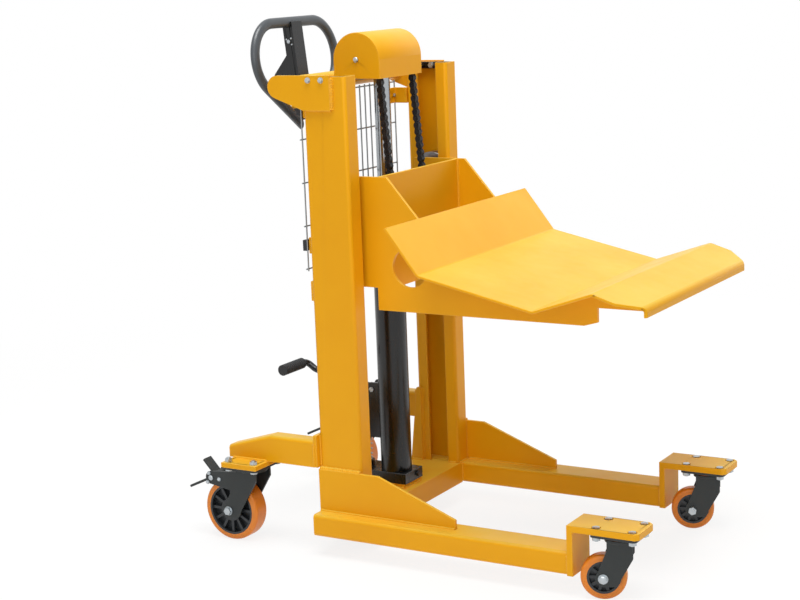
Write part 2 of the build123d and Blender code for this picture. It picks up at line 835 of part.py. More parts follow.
def brake_pedal(axis, wheel_w):
    """Twin-prong brake pedal: upper prong to free the wheel, lower prong to lock it."""
    x = axis[0] - brake_pin_behind
    half = wheel_w / 2 + fork_side_gap - brake_side_gap
    boss_r = brake_pin_r + brake_prong_thickness
    piece = pin_y(boss_r, x, brake_pin_height, axis[1] - half, axis[1] + half)
    reaches = ((-brake_upper_reach, brake_upper_rise), (-brake_lower_reach, -brake_lower_drop))
    for reach_x, reach_z in reaches:
        length = hypot(reach_x, reach_z)
        side_x = -reach_z / length * brake_prong_thickness / 2
        side_z = reach_x / length * brake_prong_thickness / 2
        points = [(x + side_x, brake_pin_height + side_z),
                  (x + reach_x + side_x, brake_pin_height + reach_z + side_z),
                  (x + reach_x - side_x, brake_pin_height + reach_z - side_z),
                  (x - side_x, brake_pin_height - side_z)]
        piece += plate_y(points, axis[1] - brake_prong_width / 2, axis[1] + brake_prong_width / 2)
    return piece - pin_y(brake_pin_r + running_fit, x, brake_pin_height, axis[1] - half, axis[1] + half)


def hub(axis, wheel_d, wheel_w, trail, ribs):
    """Moulded hub: boss, rim and web, with pockets between radial ribs on both sides."""
    rim_r = wheel_d / 2 - tyre_thickness
    boss_r = caster_axle_r * 2.5
    hub_half = wheel_w / 2 + fork_side_gap - 2 * loose_gap
    ring = Circle(rim_r - hub_rim) - Circle(rim_r * hub_core)
    pockets = ring
    for index in range(ribs):
        pockets -= Rot(0, 0, 360 * index / ribs) * Pos(rim_r / 2, 0) * Rectangle(rim_r, hub_rib)
    recess = Pos(0, 0, wheel_w * 0.4) * extrude(ring, wheel_w * 0.1)
    recess += Pos(0, 0, wheel_w / 6) * extrude(pockets, wheel_w * 0.4 - wheel_w / 6)
    piece = Cylinder(rim_r, wheel_w) - recess - Rot(180, 0, 0) * recess
    piece += Cylinder(boss_r, 2 * hub_half)
    piece -= Cylinder(caster_axle_r + running_fit, 2 * hub_half)
    return Pos(axis[0] - trail, axis[1], wheel_d / 2) * Rot(90, 0, 0) * piece


def tyre(axis, wheel_d, wheel_w, trail):
    """Bonded tyre with rounded shoulders."""
    ring = Cylinder(wheel_d / 2, wheel_w)
    ring = fillet(ring.edges().filter_by(GeomType.CIRCLE), tyre_thickness * 0.55)
    ring -= Cylinder(wheel_d / 2 - tyre_thickness, wheel_w)
    return Pos(axis[0] - trail, axis[1], wheel_d / 2) * Rot(90, 0, 0) * ring


def front_caster_bolt(x, y):
    """Flat-headed bolt from above, with its nut under the caster plate."""
    top = front_caster_height + bracket_top
    low = front_caster_height - caster_plate_thickness
    bolt = pin_z(bolt_head_r, x, y, top - countersink_depth, top)
    bolt += pin_z(caster_bolt_r, x, y, low - nut_height - bolt_end, top - countersink_depth)
    return bolt + hex_z(nut_r, x, y, low - nut_height, low)


def rear_caster_bolt(x, y):
    """Hexagon bolt from above, with its nut under the caster plate."""
    low = rear_caster_height - caster_plate_thickness
    bolt = hex_z(nut_r, x, y, rear_plate_top, rear_plate_top + bolt_head)
    bolt += pin_z(caster_bolt_r, x, y, low - nut_height, rear_plate_top)
    return bolt + hex_z(nut_r, x, y, low - nut_height, low)


def cylinder_barrel():
    """Cylinder tube on the base block."""
    return pin_z(barrel_r, ram_x, 0, block_top, barrel_top) - pin_z(
        barrel_r - barrel_wall, ram_x, 0, block_top, barrel_top)


def cylinder_gland():
    """Screwed gland with the ram's bore."""
    high = barrel_top + gland_height
    ring = pin_z(gland_r, ram_x, 0, barrel_top, high)
    ring = chamfer(ring.edges().filter_by(GeomType.CIRCLE), cover_sheet / 2)
    return ring - pin_z(ram_r + running_fit, ram_x, 0, barrel_top, high)


def ram_rod():
    """Ram with its piston."""
    low = block_top + piston_spare + ram_down
    rod = pin_z(ram_r, ram_x, 0, low, crosshead_bottom)
    return rod + pin_z(barrel_r - barrel_wall - running_fit, ram_x, 0, low, low + piston_height)


def crosshead():
    """Block on the ram's end that carries the pulley axle."""
    piece = block(ram_x - crosshead_half_depth, ram_x + crosshead_half_depth, -crosshead_half_width,
                  crosshead_half_width, crosshead_bottom, pulley_height + crosshead_above_axle)
    piece = chamfer(piece.edges().filter_by(Axis.Y), crosshead_half_depth * 0.3)
    bore_r = pulley_axle_r + running_fit
    return piece - pin_y(bore_r, pulley_x, pulley_height, -cover_half_width, cover_half_width)


def pulley_axle():
    """Axle through crosshead and pulleys, with a bolt through the cover at each end."""
    end = cover_half_width - cover_sheet
    axle = pin_y(pulley_axle_r, pulley_x, pulley_height, -end, end)
    axle += pin_y(axle_bolt_r, pulley_x, pulley_height, -cover_half_width, cover_half_width)
    head = pin_y(axle_head_r, pulley_x, pulley_height, cover_half_width, cover_half_width + axle_head)
    head = fillet(head.edges().group_by(Axis.Y)[-1], axle_head * 0.6)
    for piece in both_sides(head):
        axle += piece
    return axle


def pulley_cover():
    """Arched cover over the pulleys, open below."""
    low = pulley_height - cover_drop

    def arch(r, half):
        sides = block(pulley_x - r, pulley_x + r, -half, half, low, pulley_height)
        top = block(pulley_x - r, pulley_x + r, -half, half, pulley_height, pulley_height + r)
        return sides + (pin_y(r, pulley_x, pulley_height, -half, half) & top)

    cover = arch(cover_r, cover_half_width) - arch(cover_r - cover_sheet, cover_half_width - cover_sheet)
    bore_r = axle_bolt_r + running_fit
    return cover - pin_y(bore_r, pulley_x, pulley_height, -cover_half_width, cover_half_width)


def pulley():
    """Left chain pulley: smooth groove between two flanges."""
    groove_r = chain_r - chain_depth / 2 - loose_gap * 1.5
    groove = chain_width + 4 * loose_gap
    half = groove / 2 + pulley_flange
    wheel = pin_y(pulley_flange_r, pulley_x, pulley_height, chain_half_spread - half,
                  chain_half_spread + half)
    low = chain_half_spread - groove / 2
    high = chain_half_spread + groove / 2
    ring = pin_y(pulley_flange_r, pulley_x, pulley_height, low, high)
    wheel -= ring - pin_y(groove_r, pulley_x, pulley_height, low, high)
    return wheel - pin_y(pulley_axle_r + running_fit, pulley_x, pulley_height, 0, 2 * chain_half_spread)


def chain_wrap():
    """Left chain over the top half of its pulley."""
    y0 = chain_half_spread - chain_width / 2
    y1 = chain_half_spread + chain_width / 2
    ring = pin_y(chain_r + chain_depth / 2, pulley_x, pulley_height, y0, y1)
    ring -= pin_y(chain_r - chain_depth / 2, pulley_x, pulley_height, y0, y1)
    reach = chain_r + chain_depth
    return ring & block(pulley_x - reach, pulley_x + reach, y0, y1, pulley_height, pulley_height + reach)


rear_anchor_top = crossbeam_bottom + crossbeam_height + rear_anchor_height


def rear_chain():
    """Left fixed strand, from the crossbeam's anchor up to the pulley."""
    x = pulley_x - chain_r
    return block(x - chain_depth / 2, x + chain_depth / 2, chain_half_spread - chain_width / 2,
                 chain_half_spread + chain_width / 2, rear_anchor_top, pulley_height - loose_gap)


def front_chain():
    """Left lifting strand, from the pulley down to the carriage's anchor."""
    top = pulley_height - loose_gap
    x = pulley_x + chain_r
    half = chain_depth / 2
    points = [(x - half, top), (x + half, top), (front_anchor_ahead + half, front_anchor_top),
              (front_anchor_ahead - half, front_anchor_top)]
    return plate_y(points, chain_half_spread - chain_width / 2, chain_half_spread + chain_width / 2)


def rear_anchor():
    """Left chain anchor on the crossbeam."""
    x = pulley_x - chain_r
    low = crossbeam_bottom + crossbeam_height
    return block(x - anchor_width / 2, x + anchor_width / 2, chain_half_spread - anchor_width / 2,
                 chain_half_spread + anchor_width / 2, low, rear_anchor_top)


def front_anchor():
    """Left chain anchor on the back plate."""
    low = front_anchor_top - front_anchor_height
    inner = chain_half_spread - anchor_width / 2
    outer = chain_half_spread + anchor_width / 2
    return block(front_anchor_ahead - anchor_width / 2, back_plate_ahead, inner, outer, low, front_anchor_top)


cradle_lower = strip(cradle_points, cradle_sheet)


def cradle():
    """Bent cradle sheet: wing, floor, ramp, nose and folded lip, with cut front corners."""
    half = cradle_width / 2
    sheet = plate_y(cradle_points + cradle_lower[::-1], -half, half)
    hollow = (1, 2)
    for index in (1, 2, 3, 4):
        rounds = (cradle_bend_r, cradle_bend_r + cradle_sheet)
        upper_r, lower_r = rounds if index in hollow else rounds[::-1]
        for (x, z), r in ((cradle_points[index], upper_r), (cradle_lower[index], lower_r)):
            edges = [edge for edge in sheet.edges().filter_by(Axis.Y)
                     if hypot(edge.center().X - x, edge.center().Z - z) < 0.1]
            sheet = fillet(edges, r)
    nose_x = cradle_points[-1][0]
    for side in (-1, 1):
        past = nose_x + cut_overrun
        corner = Wire.make_polygon([(nose_x - cradle_corner, side * half, 0), (past, side * half, 0),
                                    (past, side * (half - cradle_corner - cut_overrun), 0)])
        cut = extrude(Face(corner), amount=cradle_start_z, dir=(0, 0, 1))
        sheet -= cut
    return sheet


def carriage_side(sheet):
    """Left side plate: roller plate behind, arm under the sheet, round hole."""
    points = [(-carriage_back_reach, carriage_bottom), (-carriage_back_reach, carriage_top),
              (side_top_ahead, carriage_top)]
    points += cradle_lower[:4]
    web_front = cradle_lower[4][0] - side_web_setback
    points += [(web_front, line_height(cradle_lower, web_front)), (web_front, side_web_bottom),
               (side_nose_ahead, side_web_bottom), (side_nose_ahead, side_nose_bottom),
               (side_toe_ahead, carriage_arm_bottom), (carriage_step_ahead, carriage_arm_bottom),
               (carriage_step_ahead, carriage_bottom)]
    plate = plate_y(points, side_inner, side_outer) - sheet
    plate = plate.solids().sort_by(SortBy.VOLUME)[-1]
    return plate - pin_y(side_hole_r, side_hole_ahead, side_hole_z, side_inner, side_outer)


def cross_rib():
    """Upright rib across the carriage, under the cradle floor."""
    x1 = rib_ahead + carriage_plate
    points = [(rib_ahead, rib_bottom), (x1, rib_bottom), (x1, line_height(cradle_lower, x1)),
              (rib_ahead, line_height(cradle_lower, rib_ahead))]
    return plate_y(points, -side_inner, side_inner)


roller_inner = side_outer + roller_collar + loose_gap


def roller(z):
    """Left mast roller."""
    wheel = pin_y(roller_r, 0, z, roller_inner, roller_inner + roller_width)
    wheel = fillet(wheel.edges().filter_by(GeomType.CIRCLE), loose_gap * 5)
    return wheel - pin_y(roller_axle_r + running_fit, 0, z, roller_inner, roller_inner + roller_width)


def roller_axle(z):
    """Left stub axle on the side plate, with collar and end washer."""
    outer = roller_inner + roller_width + loose_gap
    axle = pin_y(roller_collar_r, 0, z, side_outer, side_outer + roller_collar)
    axle += pin_y(roller_axle_r, 0, z, side_outer, outer)
    return axle + pin_y(roller_washer_r, 0, z, outer, outer + roller_washer)


def pump_block():
    """Base block with the pump's boss and bore and a plug at the left."""
    piece = block(-block_behind, block_ahead, -block_right, block_left, block_bottom, block_top)
    piece = chamfer(piece.edges().group_by(Axis.Z)[-1], block_bevel)
    piece += pin_z(pump_boss_r, pump_x, 0, block_top, boss_top)
    bore_low = boss_top - plunger_in_bore - plunger_stroke - bore_spare
    piece -= pin_z(plunger_r + running_fit, pump_x, 0, bore_low, boss_top)
    plug_z = (block_bottom + block_top) / 2
    return piece + pin_x(plug_r, block_left / 2, plug_z, block_ahead, block_ahead + plug_length)


def pump_rod():
    """Plunger between the bore and the cap."""
    return pin_z(plunger_r, pump_x, 0, boss_top - plunger_in_bore, cap_bottom + plunger_in_cap)


def plunger_cap():
    """Cap on the plunger that the pedal's heel presses."""
    cap = pin_z(cap_r, pump_x, 0, cap_bottom, cap_top)
    cap = fillet(cap.edges().group_by(Axis.Z)[-1], cap_r * 0.25)
    return cap - pin_z(plunger_r + running_fit, pump_x, 0, cap_bottom, cap_bottom + plunger_in_cap)


def spring_frame(turn):
    """Point and direction on the spring's helix after a number of turns."""
    rise = spring_height - spring_wire - 2 * loose_gap
    slope = rise / spring_turns / (2 * pi * spring_mean_r)
    angle = 2 * pi * turn
    point = Vector(pump_x + spring_mean_r * cos(angle), spring_mean_r * sin(angle),
                   boss_top + spring_wire / 2 + loose_gap + rise * turn / spring_turns)
    return point, Vector(-sin(angle), cos(angle), slope).normalized()


def biarc(start, start_dir, end, end_dir):
    """Two tangent arcs between two points with given directions."""
    chord = end - start
    both = start_dir + end_dir
    bend = 2 * (1 - start_dir.dot(end_dir))
    along = chord.dot(both)
    reach = (sqrt(along * along + bend * chord.dot(chord)) - along) / bend
    joint = (start + end + (start_dir - end_dir) * reach) * 0.5
    first = TangentArc(start, joint, tangent=start_dir)
    return [first, TangentArc(joint, end, tangent=first % 1)]


def pump_spring():
    """Return spring round the plunger: one wire swept along quarter-turn arcs."""
    edges = []
    for quarter in range(4 * spring_turns):
        edges += biarc(*spring_frame(quarter / 4), *spring_frame((quarter + 1) / 4))
    start, direction = spring_frame(0)
    section = Plane(origin=start, z_dir=direction) * Circle(spring_wire / 2)
    return sweep(section, path=Wire(edges))


def spring_gap():
    """Least gap between neighbouring turns, measured on points along the helix."""
    steps = 72
    points = [spring_frame(index / steps)[0] for index in range(steps * spring_turns + 1)]
    least = min((points[i] - points[j]).length for i in range(len(points))
                for j in range(i + steps // 2, len(points)))
    return least - spring_wire


def pedal_cheek():
    """Left cheek behind the barrel that carries the pedal's pin."""
    low = pedal_pin_height - cheek_below
    high = pedal_pin_height + cheek_above
    back = pedal_pin_x - cheek_behind
    piece = block(back, ram_x, cheek_half_gap, cheek_half_gap + cheek, low, high)
    piece = fillet(piece.edges().filter_by(Axis.Y).group_by(Axis.X)[0], cheek_behind * 0.8)
    piece -= pin_z(barrel_r, ram_x, 0, low, high)
    piece = piece.solids().sort_by(Axis.X)[0]
    return piece - pin_y(pedal_pin_r + running_fit, pedal_pin_x, pedal_pin_height, 0, cheek_half_gap + cheek)


def pedal_pin():
    """Pin through the cheeks and the pedal lever."""
    half = cheek_half_gap + cheek
    pin = pin_y(pedal_pin_r, pedal_pin_x, pedal_pin_height, -half, half)
    head = pin_y(pedal_pin_r * 1.6, pedal_pin_x, pedal_pin_height, half, half + pedal_pin_r / 2)
    for side in both_sides(head):
        pin += side
    return pin


def pedal_lever():
    """Pedal lever: boss on the pin, heel over the plunger cap and bent bar to the grip."""
    half = cheek_half_gap - pedal_side_play
    points = [(pedal_pin_x, 0, pedal_pin_height), (-pedal_knee_behind, 0, pedal_knee_height),
              (-pedal_behind, 0, pedal_height), (-pedal_behind, -pedal_length, pedal_height)]
    path = FilletPolyline(*points, radius=[pedal_knee_r, pedal_bend_r])
    first = Vector(*points[1]) - Vector(*points[0])
    section = Plane(origin=points[0], z_dir=first) * Circle(pedal_bar_r)
    lever = sweep(section, path=path)
    lever += pin_y(pedal_boss_r, pedal_pin_x, pedal_pin_height, -half, half)
    lever += pin_y(heel_r, pump_x, heel_z, -half, half)
    lever += block(pump_x, pedal_pin_x, -half, half, heel_z, heel_z + heel_r / 2)
    return lever - pin_y(pedal_pin_r + running_fit, pedal_pin_x, pedal_pin_height, -half, half)


def pedal_grip():
    """Rubber grip on the pedal's bar."""
    end = -pedal_length - bolt_head / 2
    grip = pin_y(pedal_grip_r, -pedal_behind, pedal_height, end, end + pedal_grip_length)
    grip = fillet(grip.edges().group_by(Axis.Y)[0], bolt_head / 2)
    return grip - pin_y(pedal_bar_r, -pedal_behind, pedal_height, -pedal_length, end + pedal_grip_length)


def save_casters(end, axis, angle, nodes):
    """Writes the left and right casters of one end, each turned about its own swivel axis."""
    for side, y in (("left", axis[1]), ("right", -axis[1])):
        for name, pieces in nodes.items():
            sided = pieces if side == "left" else [mirror(piece, about=Plane.XZ) for piece in pieces]
            save(f"{end}_{side}_{name}", *[turned(piece, (axis[0], y), angle) for piece in sided])


def main():
    """Builds every node and writes it."""
    os.makedirs("parts", exist_ok=True)
    save("legs", *both_sides(leg()))
    save("base_crossbar", base_crossbar())
    save("columns", *both_sides(column()))
    pad = block(-crossbar_behind, pad_ahead, -block_right, block_left, leg_top, block_bottom)
    save("base_plates", pad, *both_sides(gusset()), *both_sides(brace()))
    save("front_brackets", *both_sides(front_bracket()))
    save("rear_arms", *both_sides(rear_arm()))
    save("rear_arm_plates", *both_sides(arm_plate()), *both_sides(rear_plate()))
    save("handle_lugs", *both_sides(lug()))
    cross_tube = pin_y(tube_r, tube_x, tube_z, -column_outer, column_outer)
    cross_tube -= pin_y(tube_r - tube_wall, tube_x, tube_z, -column_outer, column_outer)
    save("handle_cross_tube", cross_tube)
    beam_end = column_outer - column_bend_r
    beam = block(column_back - crossbeam_thickness, column_back, -beam_end, beam_end,
                 crossbeam_bottom, crossbeam_bottom + crossbeam_height)
    save("middle_crossbeam", beam, *both_sides(rear_anchor()))
    save("stop_bars", *both_sides(stop_bar()))
    save("wire_guard", guard())
    heights = guard_bolt_heights
    save("guard_brackets", *[p for z in heights for p in both_sides(guard_bracket(z))])
    save("guard_clips", *[p for z in heights for p in both_sides(guard_clip_piece(z))])

    place = handle_plane.location
    spine = place * handle_spine()
    for z in tongue_bolt_heights:
        spine -= pin_y(bolt_r + bolt_play, spine_x(z), z, -spine_width, spine_width)
    save("handle_loop", place * handle_tube())
    save("handle_spine", spine)
    save("handle_tongue", *both_sides(tongue()))
    save("release_lever", place * release_lever())

    stop_z = column_top - stop_bolt_below_top
    wall = column_outer - column_wall - stop_bar_thickness
    bolts = [place * lever_pin(), pedal_pin()]
    for x in stop_bolt_places:
        bolts += both_sides(bolt_y(x, stop_z, wall, column_outer + lug_thickness))
    for z in heights:
        bolts += both_sides(guard_bolt(z))
    tongue_face = spine_width / 2 + tongue_thickness
    for z in tongue_bolt_heights:
        bolts.append(bolt_y(spine_x(z), z, -tongue_face, tongue_face))
    save("frame_bolts", *bolts)

    save("pump_block", pump_block())
    save("cylinder_barrel", cylinder_barrel())
    save("cylinder_gland", cylinder_gland())
    save("pedal_cheeks", *both_sides(pedal_cheek()))
    save("pump_plunger", pump_rod())
    save("plunger_cap", plunger_cap())
    save("pump_spring", pump_spring())
    save("pedal_lever", pedal_lever())
    save("pedal_grip", pedal_grip())

    save("ram_rod", ram_rod())
    save("crosshead", crosshead())
    save("pulley_axle", pulley_axle())
    save("pulley_cover", pulley_cover())
    save("chain_pulleys", *both_sides(pulley()))
    save("chain_wraps", *both_sides(chain_wrap()))
    save("rear_chains", *both_sides(rear_chain()))
    save("front_chains", *both_sides(front_chain()))

    sheet = cradle()
    save("cradle_sheet", sheet)
    save("carriage_sides", *both_sides(carriage_side(sheet)))
    back_plate = block(back_plate_ahead, back_plate_ahead + carriage_plate, -side_inner, side_inner,
                       back_plate_bottom, carriage_top)
    save("carriage_cross_plates", back_plate, cross_rib(), *both_sides(front_anchor()))
    rollers = (upper_roller_z, lower_roller_z)
    save("roller_axles", *[p for z in rollers for p in both_sides(roller_axle(z))])
    for name, z in zip(("upper", "lower"), rollers):
        save(f"{name}_rollers", *both_sides(roller(z)))

    plates = both_sides(caster_plate(front_axis, front_caster_height, front_bolt_x, front_bolt_y))
    plates += both_sides(caster_plate(rear_axis, rear_caster_height, rear_bolt_x, rear_bolt_y))
    save("caster_plates", *plates)
    save("caster_seals", *both_sides(caster_seal(front_axis, front_caster_height)),
         *both_sides(caster_seal(rear_axis, rear_caster_height)))
    caster_bolts = []
    for x, y in bolt_places(front_axis, front_bolt_x, front_bolt_y):
        caster_bolts += both_sides(front_caster_bolt(x, y))
    for x, y in bolt_places(rear_axis, rear_bolt_x, rear_bolt_y):
        caster_bolts += both_sides(rear_caster_bolt(x, y))
    save("caster_bolts", *caster_bolts)
    wheel = (front_axis, front_wheel_d, front_wheel_w, front_trail)
    frame = fork(front_axis, front_caster_height, *wheel[1:], front_shoulder, front_toe, False)
    caster = {"fork": [frame, caster_axle(*wheel)], "hub": [hub(*wheel, front_ribs)], "tyre": [tyre(*wheel)]}
    save_casters("front", front_axis, front_swivel, caster)
    wheel = (rear_axis, rear_wheel_d, rear_wheel_w, rear_trail)
    frame = fork(rear_axis, rear_caster_height, *wheel[1:], rear_shoulder, rear_toe, True)
    caster = {"fork": [frame, caster_axle(*wheel), brake_pin(rear_axis, rear_wheel_w)],
              "hub": [hub(*wheel, rear_ribs)], "tyre": [tyre(*wheel)],
              "brake_pedal": [brake_pedal(rear_axis, rear_wheel_w)]}
    save_casters("rear", rear_axis, rear_swivel, caster)
    print("spring: least gap between turns", round(spring_gap(), 2), "mm")
    print("mast plane at x =", round(mast_x, 2), "mm")


main()
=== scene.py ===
# %% [markdown]
# # Dressing a roll lifter
# A roll lifter picks a heavy reel off the floor in a bent steel cradle and carries it on casters.
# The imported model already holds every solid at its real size, so nothing is moved or resized here.
# This lesson gives each piece its surface.
# It also models what a solid leaves plain: chain links, wire, welds and bolts.

# %% Load the frame and keep its box
import json
import math

import bmesh
import bpy
from mathutils import Matrix, Vector


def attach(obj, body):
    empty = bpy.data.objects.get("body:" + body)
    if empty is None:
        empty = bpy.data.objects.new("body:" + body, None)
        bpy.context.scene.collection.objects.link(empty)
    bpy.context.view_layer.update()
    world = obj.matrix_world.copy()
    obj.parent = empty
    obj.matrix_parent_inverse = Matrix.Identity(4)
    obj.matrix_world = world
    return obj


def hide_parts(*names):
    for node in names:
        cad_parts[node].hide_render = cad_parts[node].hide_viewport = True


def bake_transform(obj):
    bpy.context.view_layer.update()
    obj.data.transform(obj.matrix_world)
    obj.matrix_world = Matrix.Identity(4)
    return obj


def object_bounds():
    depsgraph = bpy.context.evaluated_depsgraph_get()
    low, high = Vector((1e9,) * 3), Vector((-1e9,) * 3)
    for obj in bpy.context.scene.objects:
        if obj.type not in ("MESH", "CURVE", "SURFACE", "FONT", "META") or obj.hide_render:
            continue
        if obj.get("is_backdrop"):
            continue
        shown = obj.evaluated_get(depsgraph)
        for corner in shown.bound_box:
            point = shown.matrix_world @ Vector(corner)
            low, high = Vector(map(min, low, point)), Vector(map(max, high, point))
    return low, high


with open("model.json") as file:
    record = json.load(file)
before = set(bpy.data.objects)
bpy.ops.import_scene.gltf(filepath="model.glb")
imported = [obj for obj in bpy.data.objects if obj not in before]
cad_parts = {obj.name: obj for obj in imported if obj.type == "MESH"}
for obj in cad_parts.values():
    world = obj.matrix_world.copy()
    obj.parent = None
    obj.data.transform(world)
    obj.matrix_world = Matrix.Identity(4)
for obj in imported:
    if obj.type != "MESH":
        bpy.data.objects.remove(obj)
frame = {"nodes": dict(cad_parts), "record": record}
nodes = frame["nodes"]
scene = bpy.context.scene
cad_low, cad_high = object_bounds()
print("CAD box", [round(v, 3) for v in cad_low], [round(v, 3) for v in cad_high])

# %% [markdown]
# The CAD source measures its lengths forward from the mast's centre plane, in millimetres.
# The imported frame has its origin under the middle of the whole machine, in metres.
# One small function turns the first into the second, so that sizes below read as on a drawing.

# %% From drawing millimetres to the frame
MAST_X = -175.38


def mm(length):
    """Millimetres as metres."""
    return length / 1000


def place(x, y, z):
    """A point given in mm from the mast plane, the middle plane and the floor."""
    return Vector((x + MAST_X, y, z)) / 1000


print("mast plane at", round(place(0, 0, 0).x, 5), "m")

# %% [markdown]
# The photograph was taken from the front right, a little above the cradle, with a long lens.
# Azimuth, pitch and roll come from fitting known edges of the machine to the picture.
# Building the matrix from a view direction keeps the roll apart from the other two angles.

# %% Camera
azimuth, pitch, roll = (math.radians(a) for a in (30.80, -10.86, -2.22))
ahead = Vector((-math.sin(azimuth) * math.cos(pitch),
                math.cos(azimuth) * math.cos(pitch),
                math.sin(pitch)))
level = Vector((math.cos(azimuth), math.sin(azimuth), 0))
above = level.cross(ahead)
right = math.cos(roll) * level + math.sin(roll) * above
up = -math.sin(roll) * level + math.cos(roll) * above
camera = bpy.data.objects.new("camera", bpy.data.cameras.new("camera"))
scene.collection.objects.link(camera)
camera.data.sensor_width = 36
camera.data.lens = 79.115
stand = place(2142.95, -3554.70, 1351.58)
turn = Matrix((right, up, -ahead)).transposed().to_4x4()
camera.matrix_world = Matrix.Translation(stand) @ turn
scene.camera = camera
print("camera stands", round(stand.length, 2), "m from the origin")

# %% [markdown]
# Every shader and every node tree below is a set of nodes with values and links.
# One function adds a node: its keywords are the node's own settings, and `links` fills its inputs.
# A second turns the sRGB hex colours that people write into the linear values that shaders use.

# %% Helpers for node trees and colours
# A Mix node has sockets for every kind of value. These are the ones for colours.
SHARE, TONE_A, TONE_B, MIXED = 0, 6, 7, 2


def add(tree, kind, links=None, **settings):
    """One node. links maps an input's name or number to a value or to another node's output."""
    made = tree.nodes.new(kind)
    for name, value in settings.items():
        setattr(made, name, value)
    for name, value in (links or {}).items():
        if isinstance(value, bpy.types.NodeSocket):
            tree.links.new(value, made.inputs[name])
        else:
            made.inputs[name].default_value = value
    return made


def colour(hex_text):
    """sRGB hex to linear RGBA."""
    parts = [int(hex_text[i:i + 2], 16) / 255 for i in (1, 3, 5)]
    linear = [p / 12.92 if p <= 0.04045 else ((p + 0.055) / 1.055) ** 2.4 for p in parts]
    return (*linear, 1.0)


def per_mm(size):
    """Texture scale for a pattern whose features are this many millimetres across."""
    return 1000 / size


print("amber in linear light:", [round(c, 3) for c in colour("#e09a0a")])

# %% [markdown]
# The machine stands on a pale floor in a white studio.
# A floor that is only pale paint would go grey away from the lamps.
# So camera and mirror rays see part of it as plain white, and more of it further out.
# Near the machine the rest is paint, which takes the shadow.

# %% Floor
def seen(tree):
    """1 for rays from the camera, off a shiny surface or through a clear one, and 0 for others."""
    rays = add(tree, "ShaderNodeLightPath").outputs
    found = rays["Is Camera Ray"]
    for kind in ("Is Glossy Ray", "Is Transmission Ray"):
        most = add(tree, "ShaderNodeMath", {0: found, 1: rays[kind]}, operation="MAXIMUM")
        found = most.outputs[0]
    return found


floor_paint = bpy.data.materials.new("white_studio_floor")
floor_paint.use_nodes = True
tree = floor_paint.node_tree
tree.nodes.clear()
where = add(tree, "ShaderNodeTexCoord").outputs["Object"]
away = add(tree, "ShaderNodeVectorMath", {0: where}, operation="LENGTH")
pale = add(tree, "ShaderNodeMapRange", {
    "Value": away.outputs["Value"], "From Min": 1.2, "From Max": 3.0, "To Min": 0.84,
    "To Max": 1.0})
share = add(tree, "ShaderNodeMath", {0: seen(tree), 1: pale.outputs[0]}, operation="MULTIPLY")
paint = add(tree, "ShaderNodeBsdfDiffuse", {"Color": colour("#f4f4f2")})
white = add(tree, "ShaderNodeEmission", {"Color": (1, 1, 1, 1), "Strength": 1.0})
both = add(tree, "ShaderNodeMixShader", {
    0: share.outputs[0], 1: paint.outputs[0], 2: white.outputs[0]})
add(tree, "ShaderNodeOutputMaterial", {"Surface": both.outputs[0]})
bpy.ops.mesh.primitive_plane_add(size=30)
floor = bpy.context.object
floor.name = "studio_floor"
floor.data.materials.append(floor_paint)
floor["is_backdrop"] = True
print(floor.name, "has", len(tree.nodes), "nodes")

# %% [markdown]
# A large soft lamp hangs above the machine, and a weaker one stands on each side.
# The sky looks white, but it lights the machine with only a quarter of that, to fill the shadows.
# The lamp on the left is kept out of reflections, or the cradle would mirror it.

# %% Sky and lamps
world = scene.world or bpy.data.worlds.new("studio")
scene.world = world
world.use_nodes = True
tree = world.node_tree
tree.nodes.clear()
strength = add(tree, "ShaderNodeMapRange", {"Value": seen(tree), "To Min": 0.24, "To Max": 1.0})
sky = add(tree, "ShaderNodeBackground", {"Color": (1, 1, 1, 1), "Strength": strength.outputs[0]})
add(tree, "ShaderNodeOutputWorld", {"Surface": sky.outputs[0]})


def lamp(name, location, aim, size, power, mirrored=True):
    """A square soft box that points at a place, in metres and watts. It shows in mirrors or not."""
    light = bpy.data.objects.new(name, bpy.data.lights.new(name, "AREA"))
    light.data.shape = "SQUARE"
    light.data.size = size
    light.data.energy = power
    light.visible_glossy = mirrored
    light.location = location
    light.rotation_euler = (Vector(aim) - light.location).to_track_quat("-Z", "Y").to_euler()
    scene.collection.objects.link(light)


lamp("soft_box_right", (1.4, -4.2, 2.4), (0, 0, 0.6), size=2.6, power=45)
lamp("soft_box_left", (0.6, 4.4, 1.9), (0, 0, 0.4), size=2.6, power=120, mirrored=False)
lamp("soft_box_above", (0.7, -1.3, 7.0), (0, 0, 0.5), size=4.2, power=495)
scene.view_settings.view_transform = "Standard"
print("sky and", len(bpy.data.lights), "lamps")

# %% [markdown]
# ## Finishes
# Each finish starts from what the real surface is and how it was made.
# A Principled surface carries the constants of the material on its own sockets.
# Noise in object coordinates then varies colour, roughness and bump at sizes in millimetres.
# The Bevel node finds edges by comparing a rounded normal with the true one.
# So no edge has to be painted by hand.

# %% What the finishes share
def finish(name, constants):
    """A material with a Principled surface, and the object coordinates its patterns read."""
    made = bpy.data.materials.new(name)
    made.use_nodes = True
    tree = made.node_tree
    tree.nodes.clear()
    surface = add(tree, "ShaderNodeBsdfPrincipled", constants)
    add(tree, "ShaderNodeOutputMaterial", {"Surface": surface.outputs[0]})
    return made, tree, surface, add(tree, "ShaderNodeTexCoord").outputs["Object"]


def tones(tree, vector, size, detail, dark, light):
    """Clouds of noise, their size in mm, and the colour that they blend from dark to light."""
    clouds = add(tree, "ShaderNodeTexNoise", {
        "Vector": vector, "Scale": per_mm(size), "Detail": detail}).outputs[0]
    tone = add(tree, "ShaderNodeMix", {
        SHARE: clouds, TONE_A: colour(dark), TONE_B: colour(light)}, data_type="RGBA")
    return clouds, tone.outputs[MIXED]


